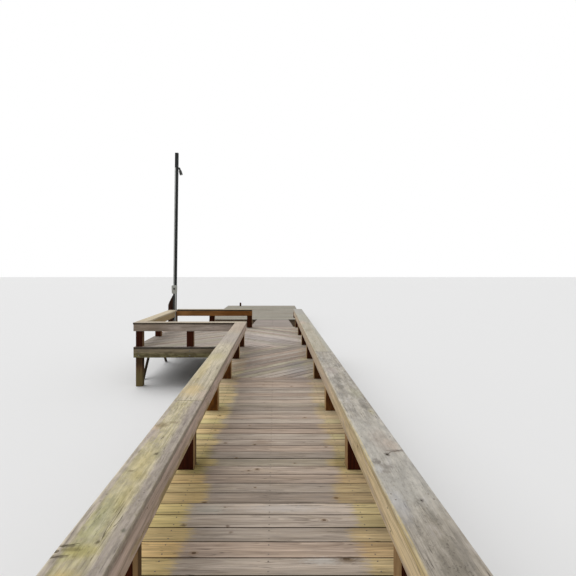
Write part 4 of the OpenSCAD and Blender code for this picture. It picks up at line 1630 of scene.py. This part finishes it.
# %% Places for fixings
def fixings(board_nodes, post_nodes, holes, stand=0.0):
    """Places on boards, on the face away from each post they touch. Holes are given as the shift
    along the board in metres and the share of its height."""
    posts = [box for node in post_nodes for box in parts_of(node)]
    spots = []
    for low, high in [box for node in board_nodes for box in parts_of(node)]:
        size = high - low
        through = 0 if size.x < size.y else 1
        along = 1 - through
        for post_low, post_high in posts:
            middle = (post_low + post_high) / 2
            side = 1 if (low + high)[through] / 2 > middle[through] else -1
            room = low[through] - post_high[through] if side > 0 else (
                post_low[through] - high[through])
            if (abs(room) > 0.012 or post_low.z > high.z or post_high.z < low.z
                    or not low[along] - 0.01 < middle[along] < high[along] + 0.01):
                continue
            facing_out = Vector((0, 0, 0))
            facing_out[through] = side
            for shift, share in holes:
                spot = Vector((0, 0, low.z + share * size.z))
                spot[along] = min(max(middle[along] + shift, low[along] + 0.02),
                                  high[along] - 0.02)
                spot[through] = high[through] if side > 0 else low[through]
                reach = spot + facing_out * (stand + 0.002)
                if all(cad_low[i] < reach[i] < cad_high[i] for i in (0, 1)):
                    spots.append((spot, facing_out))
    return spots


# %% [markdown]
# ## Nails in the rails
# A rail's flat board is nailed to each post with four nails and to the side boards between the
# posts with one or two. Their heads are the same as the deck's, so the same pattern is strewn
# again.


# %% Rail nails
def cap_nails(node, posts, draw):
    """Nails along both edges of a rail's flat boards: pairs at the posts and one between them."""
    spots = []
    for low, high in parts_of(node):
        size = high - low
        along = 0 if size.x > size.y else 1
        across = 1 - along
        stops = [(a + b)[along] / 2 + step for a, b in posts for step in (-0.034, 0.034)
                 if low[across] < (a + b)[across] / 2 < high[across]]
        rows = sorted(set(round(stop, 3) for stop in stops))
        between = [(a + b) / 2 for a, b in zip(rows, rows[1:]) if b - a > 0.8]
        for stop in rows + between + [low[along] + 0.03, high[along] - 0.03]:
            for side in (-1, 1):
                spot = (low + high) / 2
                spot[along] = stop + draw.uniform(-0.012, 0.012)
                spot[across] += side * (0.089 + draw.uniform(-0.006, 0.006))
                spot.z = high.z
                if low[along] + 0.015 < spot[along] < high[along] - 0.015:
                    spots.append((spot, Vector((0, 0, 1))))
    return spots


RAILS = ("left_rail", "right_rail", "near_rail", "side_rail", "far_rail")
RAIL_POSTS = ("left_posts", "right_posts", "platform_posts")
BOARD_HOLES = ((-0.028, 0.22), (0.030, 0.78))
post_boxes = [box for node in RAIL_POSTS for box in parts_of(node) if box[1].z > DECK + 0.1]
draw = random.Random(23)
nails = [spot for rail in RAILS for spot in cap_nails(rail + "_cap", post_boxes, draw)]
nails += fixings([rail + "_fascias" for rail in RAILS], RAIL_POSTS, BOARD_HOLES)
finish_piece(strew("rail_nails", nail_pattern, nails), nail_metal)
bin_it(nail_pattern)
print(len(nails), "rail nails")

# %% [markdown]
# ## Bolts
# The beams hang on the posts by bolts that go right through, with a washer and a nut on each side.
# A nut is a cylinder with six sides whose corners are turned off; the washer below it and the
# thread's end above it are rounder cylinders. Rim boards have carriage bolts, whose heads are low
# domes: the top half of a sphere, pressed flat.


# %% Nut and dome
def drum(radius, start, end, sides, worn):
    """A short round bar from one height to another, with both rims taken off."""
    bar = cylinder(sides, radius, end - start, (0, 0, (start + end) / 2))
    round_edges(bar, lambda edge: abs(edge_run(bar, edge).z) < 0.0001, worn, 1)
    return bar


nut_pattern = join_as("nut_pattern", [drum(0.022, -0.001, 0.003, 20, 0.0008),
                                      drum(0.0150, 0.0028, 0.0138, 6, 0.0016),
                                      drum(0.0063, 0.0136, 0.0220, 10, 0.0012)])
bpy.ops.object.select_all(action="DESELECT")
bpy.ops.mesh.primitive_uv_sphere_add(segments=14, ring_count=8, radius=0.015)
dome_pattern = cut_through(settle(bpy.context.object), (0, 0, 0), (0, 0, -1), drop=True)
dome_pattern.data.transform(Matrix.Translation((0, 0, -0.0004)) @ Matrix.Diagonal((1, 1, 0.36, 1)))
print("nut", len(nut_pattern.data.polygons), "faces, dome", len(dome_pattern.data.polygons))

# %% Bolts
NUT_HEIGHT, DOME_HEIGHT = 0.022, 0.006
BEAM_HOLES = ((-0.030, 0.26), (0.030, 0.74))
RIM_HOLES = ((0.0, 0.24), (0.0, 0.76))
DOCK_POSTS = ("dock_left_posts", "dock_right_posts")
through_bolts = fixings(("walkway_cross_beams", "platform_cross_beams", "end_cross_beams"),
                        RAIL_POSTS, BEAM_HOLES, NUT_HEIGHT)
through_bolts += fixings(("dock_cross_beams",), DOCK_POSTS, BEAM_HOLES, NUT_HEIGHT)
through_bolts += [(on_jetty(-2.795, 12.141, height), Vector((0, -1, 0)))
                  for height in (0.20, 0.37)]
rim_bolts = fixings(("left_rim_joist", "right_rim_joist", "platform_near_rim",
                     "platform_side_rim", "far_rim"), RAIL_POSTS, RIM_HOLES, DOME_HEIGHT)
rim_bolts += fixings(("dock_side_rims", "dock_end_rims"), DOCK_POSTS, RIM_HOLES, DOME_HEIGHT)
rim_bolts += fixings(("side_braces",), ("platform_posts",), ((0.0, 0.5),), DOME_HEIGHT)
for name, pattern, spots in (("through_bolts", nut_pattern, through_bolts),
                             ("rim_bolts", dome_pattern, rim_bolts)):
    finish_piece(strew(name, pattern, spots), bolt_metal)
    bin_it(pattern)
print(len(through_bolts), "nuts,", len(rim_bolts), "carriage bolts")

# %% [markdown]
# ## The pile beside the mast
# An old round pile stands at the platform's outer corner, sawn off at a slant. A log isn't a
# cylinder: it twists, it is nowhere quite round, and it has split as it dried. A cylinder is cut
# into short lengths, so that every ring of points can be moved a little, and three rows of points
# are pushed in for the splits. The slanted saw cut comes last, so that it stays flat.

# %% Pile
SLANT = 0.360
RINGS = 26
SPLITS = ((-1.85, 0.020, 0.75), (-0.75, 0.014, 1.10), (1.9, 0.016, 0.4))
SPLIT_WIDTH = 0.085

pile_low, pile_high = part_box("mast_pile")
pile_middle = (pile_low + pile_high) / 2
pile_radius = (pile_high.x - pile_low.x) / 2
pile = cylinder(48, pile_radius, pile_high.z - pile_low.z, pile_middle)
for step in range(1, RINGS):
    height = pile_low.z + step * (pile_high.z - pile_low.z) / RINGS
    cut_through(pile, (0, 0, height), (0, 0, 1))
for vertex in pile.data.vertices:
    out = Vector((vertex.co.x - pile_middle.x, vertex.co.y - pile_middle.y))
    angle = math.atan2(out.y, out.x)
    height = vertex.co.z - pile_low.z
    turned = angle + 0.10 * math.sin(1.7 * height)
    uneven = (1.4 + 0.9 * math.sin(3 * turned + 2.0 * height) + 0.5 * math.sin(7 * turned))
    wave = 1.2 + 1.2 * math.sin(5.1 * height + 2 * angle)
    share = 1 - max(0.0, uneven + wave) * 0.0009 / pile_radius
    for place, deep, foot in SPLITS:
        aside = abs((turned - place + math.pi) % (2 * math.pi) - math.pi)
        if aside < SPLIT_WIDTH and height > foot:
            share -= (deep / pile_radius * (1 - aside / SPLIT_WIDTH)
                      * min(1.0, (height - foot) / 0.3))
    vertex.co.x = pile_middle.x + out.x * share
    vertex.co.y = pile_middle.y + out.y * share
cut_through(pile, (pile_low.x, 0, pile_high.z - SLANT),
            Vector((-SLANT, 0, 2 * pile_radius)).normalized(), drop=True)
apply(pile, "BEVEL", width=0.003, segments=2, limit_method="ANGLE", angle_limit=math.radians(50))
mark_grain(pile, Matrix.Translation(pile_middle) @ turn_to(Vector((0, 0, 1)), "X"),
           random.Random(3))
finish_piece(join_as("pile_log", [pile]), pile_wood, ("mast_pile",))

# %% [markdown]
# ## Round fittings
# The lamp, its joint and the conduits' sleeves are all round shapes. A lathe would make them, and
# this does much the same: a disc is drawn out ring by ring, each ring at its own height and width.

# %% Turning
ON_SIDE = Matrix.Rotation(math.radians(90), 4, "X")


def turned_on_lathe(profile, sides=32, soft=0.0):
    """A round shape round the Z axis. The profile is a row of radius and height, end to end."""
    radius, height = profile[0]
    bpy.ops.object.select_all(action="DESELECT")
    bpy.ops.mesh.primitive_circle_add(vertices=sides, radius=radius, location=(0, 0, height),
                                      fill_type="NGON")
    piece = settle(bpy.context.object)
    pick_all(piece)
    for wider, higher in profile[1:]:
        bpy.ops.mesh.extrude_region_move(TRANSFORM_OT_translate={"value": (0, 0, higher - height)})
        bpy.ops.transform.resize(value=(wider / radius, wider / radius, 1),
                                 center_override=(0, 0, higher))
        radius, height = wider, higher
    bpy.ops.mesh.select_all(action="SELECT")
    bpy.ops.mesh.normals_make_consistent(inside=False)
    done()
    if soft:
        apply(piece, "BEVEL", width=soft, segments=2, limit_method="ANGLE",
              angle_limit=math.radians(25))
    return piece


def set_at(piece, place, turn):
    """Turns a small part and puts it in its place."""
    piece.data.transform(Matrix.Translation(place) @ turn)
    return piece


# %% [markdown]
# ## The lamp
# The floodlight hangs near the mast's top: a bell with a rolled rim on a short neck, a round joint
# that lets it tilt, and a bracket bolted to the mast. The lens sits a little way up in the mouth.
# It is turned upright round the joint and then tilted as one.

# %% Lamp
JOINT = on_jetty(-2.643, 12.1855, 4.470)
TILT = Matrix.Rotation(math.radians(-16), 4, "Y")
FIN_STEP = 0.007

bell = turned_on_lathe([(0.0205, -0.012), (0.0205, -0.042), (0.027, -0.052), (0.033, -0.062),
                        (0.0365, -0.085), (0.0395, -0.110), (0.0415, -0.130), (0.0415, -0.176),
                        (0.0425, -0.180), (0.0425, -0.190), (0.0385, -0.190), (0.0372, -0.184),
                        (0.0372, -0.172)])
fins = [turned_on_lathe([(0.024, -0.018 - step * FIN_STEP), (0.024, -0.0205 - step * FIN_STEP)],
                        24, 0.0006) for step in range(4)]
joint = [drum(0.0220, -0.022, 0.022, 28, 0.003), drum(0.009, 0.021, 0.027, 6, 0.001),
         drum(0.012, 0.0205, 0.0225, 16, 0.0005)]
for part in joint:
    part.data.transform(ON_SIDE)
lamp = set_at(join_as("lamp_body", [bell] + joint + fins), JOINT, TILT)
finish_piece(lamp, lamp_metal, ("lamp_housing",))

lens = turned_on_lathe([(0.0365, -0.173), (0.0365, -0.179), (0.030, -0.1815), (0.018, -0.1832),
                        (0.006, -0.1838)])
finish_piece(set_at(join_as("lamp_lens_glass", [lens]), JOINT, TILT), lamp_glass,
             ("lamp_lens",))

# %% Lamp bracket
bracket_low, bracket_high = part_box("lamp_bracket")
size = bracket_high - bracket_low
middle = (bracket_low + bracket_high) / 2
plate = cube(size, middle)
round_edges(plate, lambda edge: abs(edge_run(plate, edge).x) > 0.5 * size.x, 0.008, 4)
pick(plate, "FACE", lambda face: face.normal.x > 0.9)
bpy.ops.mesh.inset(thickness=0.004, depth=-0.003)
done()
face_out = Matrix.Rotation(math.radians(90), 4, "Y")
screws = [set_at(drum(0.0048, 0.0, 0.0032, 12, 0.0008),
                 (bracket_high.x - 0.004, middle.y + y, middle.z + z), face_out)
          for z in (-0.021, 0.021) for y in (-0.021, 0.021)]
finish_piece(join_as("lamp_bracket_plate", [plate] + screws), lamp_metal,
             ("lamp_bracket",))

# %% [markdown]
# ## The switch box
# The grey box on the mast is a moulded shell with a lid. Its lower end is a little narrower and
# rounder than its top. The lid stands out on a thin seam, is held by four screws, and has a round
# dark switch in its upper half.


# %% Box and lid
def rounded_block(low, high, corner, edge):
    """A block with rounded upright corners, a narrower foot and a softened front."""
    narrow = 0.88
    middle, size = (low + high) / 2, high - low
    block = cube(size, middle)
    pick(block, "FACE", lambda face: face.normal.z < -0.9)
    bpy.ops.transform.resize(value=(narrow, 1, 1), center_override=(middle.x, middle.y, low.z))
    done()
    round_edges(block, lambda edge: abs(edge_run(block, edge).y) > 0.9 * size.y, corner, 5)
    round_edges(block, lambda face: face.normal.y < -0.9, edge, 3, "FACE")
    return block


LID, SWITCH, SEAM = 0.012, 0.008, 0.002
box_low, box_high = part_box("switch_box")
box_middle = (box_low + box_high) / 2
lid_front = box_low.y + SWITCH
lid_edge = Vector((0.003, 0, 0.003))
shell = rounded_block(Vector((box_low.x, lid_front + LID + SEAM, box_low.z)), box_high,
                      0.022, 0.004)
lid = rounded_block(Vector((box_low.x, lid_front, box_low.z)) + lid_edge,
                    Vector((box_high.x, lid_front + LID, box_high.z)) - lid_edge, 0.020, 0.005)
print("box", len(shell.data.polygons), "faces, lid", len(lid.data.polygons), "faces")

# %% Screws and switch
SCREW = [(0.006, 0.0), (0.006, 0.0024), (0.0042, 0.0034), (0.0040, 0.0022)]
screws = [set_at(turned_on_lathe(SCREW, 14), (box_middle.x + x, lid_front, box_middle.z + z),
                 ON_SIDE)
          for x, z in ((-0.054, -0.092), (0.054, -0.092), (-0.058, 0.096), (0.058, 0.096))]
switch_place = (box_middle.x + 0.002, lid_front, box_middle.z + 0.020)
bezel = turned_on_lathe([(0.036, -0.001), (0.036, 0.003), (0.034, 0.0045), (0.030, 0.0045),
                         (0.0285, 0.002)], 36)
set_at(bezel, switch_place, ON_SIDE)
finish_piece(join_as("switch_box_shell", [shell, lid, bezel] + screws), box_plastic,
             ("switch_box",))

dial = turned_on_lathe([(0.0285, 0.0), (0.0285, 0.0035), (0.026, 0.0050)], 36)
grip = cube((0.012, 0.044, 0.005), (0, 0, 0.0055))
round_edges(grip, lambda edge: True, 0.002, 2)
finish_piece(set_at(join_as("switch_dial", [dial, grip]), switch_place, ON_SIDE), lamp_metal)

# %% [markdown]
# ## The conduits
# The conduits are plain tubes, so their solids stay and only get their metal. The mast leans, and
# the tubes lean with it, so the middle of each tube is measured at its foot and at its top.

# %% Conduits
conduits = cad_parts["conduits"]
conduits.data.materials.clear()
conduits.data.materials.append(conduit_metal)


def ring_middle(points, height):
    """The middle of a tube's end at this height."""
    ring = [point for point in points if abs(point.z - height) < 0.03]
    return Vector([(min(p[i] for p in ring) + max(p[i] for p in ring)) / 2 for i in (0, 1)]
                  + [height])


tubes = []
for low, high in parts_of("conduits"):
    points = [v.co for v in conduits.data.vertices
              if low.z - 0.001 < v.co.z < high.z + 0.001
              and low.x - 0.001 < v.co.x < high.x + 0.001]
    tubes.append((ring_middle(points, low.z), ring_middle(points, high.z)))
    print("conduit", [round(v, 3) for v in tubes[-1][0]], [round(v, 3) for v in tubes[-1][1]])

# %% [markdown]
# ## Straps and sleeves on the conduits
# What holds the tubes is added: a strap every 60 cm, which is half a tube with two flat ears, and
# a sleeve where two lengths meet or enter the box. The strap starts as a thin open cylinder. Half
# of it is deleted, its two long edges are drawn back to the mast and then out to the sides, and a
# Solidify modifier gives it its thickness.

# %% Strap and sleeve
TUBE = 0.0135


def upright_edges(piece, test):
    """A choice of the upright edges whose two ends both pass a test."""
    return lambda edge: abs(edge_run(piece, edge).z) > 0.01 and all(
        test(piece.data.vertices[i].co) for i in edge.vertices)


strap_pattern = cylinder(24, TUBE + 0.0006, 0.020, ends="NOTHING")
pick(strap_pattern, "FACE", lambda face: face.center.y > 0.0005)
bpy.ops.mesh.delete(type="FACE")
done()
pick(strap_pattern, "EDGE", upright_edges(strap_pattern, lambda end: end.y > -0.0005))
bpy.ops.mesh.extrude_region_move(TRANSFORM_OT_translate={"value": (0, TUBE - 0.0016, 0)})
done()
for side in (-1, 1):
    pick(strap_pattern, "EDGE", upright_edges(
        strap_pattern, lambda end: end.y > TUBE - 0.004 and end.x * side > 0))
    bpy.ops.mesh.extrude_region_move(TRANSFORM_OT_translate={"value": (side * 0.015, 0, 0)})
    done()
apply(strap_pattern, "SOLIDIFY", thickness=0.0014, offset=1)
half_sleeve = [(0.0002, 0.028), (0.0026, 0.028), (0.0030, 0.026), (0.0030, 0.003), (0.0022, 0.001)]
sleeve_pattern = turned_on_lathe([(TUBE + out, -up) for out, up in half_sleeve]
                                 + [(TUBE + out, up) for out, up in reversed(half_sleeve)], 24)
print("strap", len(strap_pattern.data.polygons), "faces")

# %% Conduit fittings
fittings = []
for foot, top in tubes:
    run, length = (top - foot).normalized(), (top - foot).length
    lean = turn_to(run)
    count = max(2, round(length / 0.6))
    for step in range(count):
        place = foot + run * (0.10 + step * (length - 0.2) / (count - 1))
        strap = set_at(copy_of(strap_pattern), place, lean)
        screw = set_at(drum(0.0040, 0.0, 0.0030, 10, 0.0008),
                       (TUBE + 0.0095, TUBE - 0.003, 0), ON_SIDE)
        fittings += [strap, set_at(screw, place, lean)]
    for reach in [0.029, length - 0.029] + ([length / 2 - 0.03] if length > 2 else []):
        fittings.append(set_at(copy_of(sleeve_pattern), foot + run * reach, lean))
foot, top = max(tubes, key=lambda ends: ends[1].z)
cap = turned_on_lathe([(TUBE + 0.0024, -0.030), (TUBE + 0.0034, -0.028), (TUBE + 0.0034, 0.002),
                       (TUBE + 0.0012, 0.007), (TUBE * 0.6, 0.0105), (0.002, 0.012)], 24)
fittings.append(set_at(cap, top, turn_to(top - foot)))
bin_it(strap_pattern)
bin_it(sleeve_pattern)
finish_piece(join_as("conduit_fittings", fittings), conduit_metal)

# %% [markdown]
# ## Light and floor
# The photo's light is soft and even. A dim white dome lights everything, and one very wide lamp
# above the far end gives the tops more light than the sides. The floor is plain and pale.

# %% Light
DOME_LIGHT, SUN_LIGHT = 0.56, 1.75
WHITE = (1.0, 1.0, 1.0, 1.0)

world = bpy.data.worlds.new("overcast")
bpy.context.scene.world = world
world.use_nodes = True
sky = work_on(world.node_tree)
for node in list(sky.nodes):
    sky.nodes.remove(node)
ray = put("LightPath").outputs
seen = calc("MAXIMUM", ray["Is Camera Ray"],
            calc("MAXIMUM", ray["Is Glossy Ray"], ray["Is Transmission Ray"]))
dim = put("Background", {"Color": WHITE, "Strength": DOME_LIGHT})
bright = put("Background", {"Color": WHITE, "Strength": 1.0})
both = put("MixShader", {0: seen, 1: dim.outputs[0], 2: bright.outputs[0]})
put("OutputWorld", {"Surface": both.outputs[0]})

lamp_data = bpy.data.lights.new("far_sky", "SUN")
lamp_data.energy = SUN_LIGHT
lamp_data.angle = math.radians(60)
far_sky = bpy.data.objects.new("far_sky", lamp_data)
bpy.context.scene.collection.objects.link(far_sky)
far_sky.rotation_euler = Vector((-0.55, 0.40, 1.0)).to_track_quat("Z", "Y").to_euler()
print("dome", DOME_LIGHT, "sun", SUN_LIGHT)

# %% Floor
bpy.ops.object.select_all(action="DESELECT")
bpy.ops.mesh.primitive_plane_add(size=400, location=(0, 0, -0.002))
floor = settle(bpy.context.object)
floor.name = "studio_floor"
floor_paint = bpy.data.materials.new("floor_paint")
floor_paint.use_nodes = True
floor_shader = floor_paint.node_tree.nodes["Principled BSDF"]
for title, value in (("Base Color", (0.78, 0.78, 0.78, 1.0)), ("Roughness", 0.9),
                     ("Specular IOR Level", 0.1)):
    floor_shader.inputs[title].default_value = value
floor.data.materials.append(floor_paint)
print("floor", floor.name)
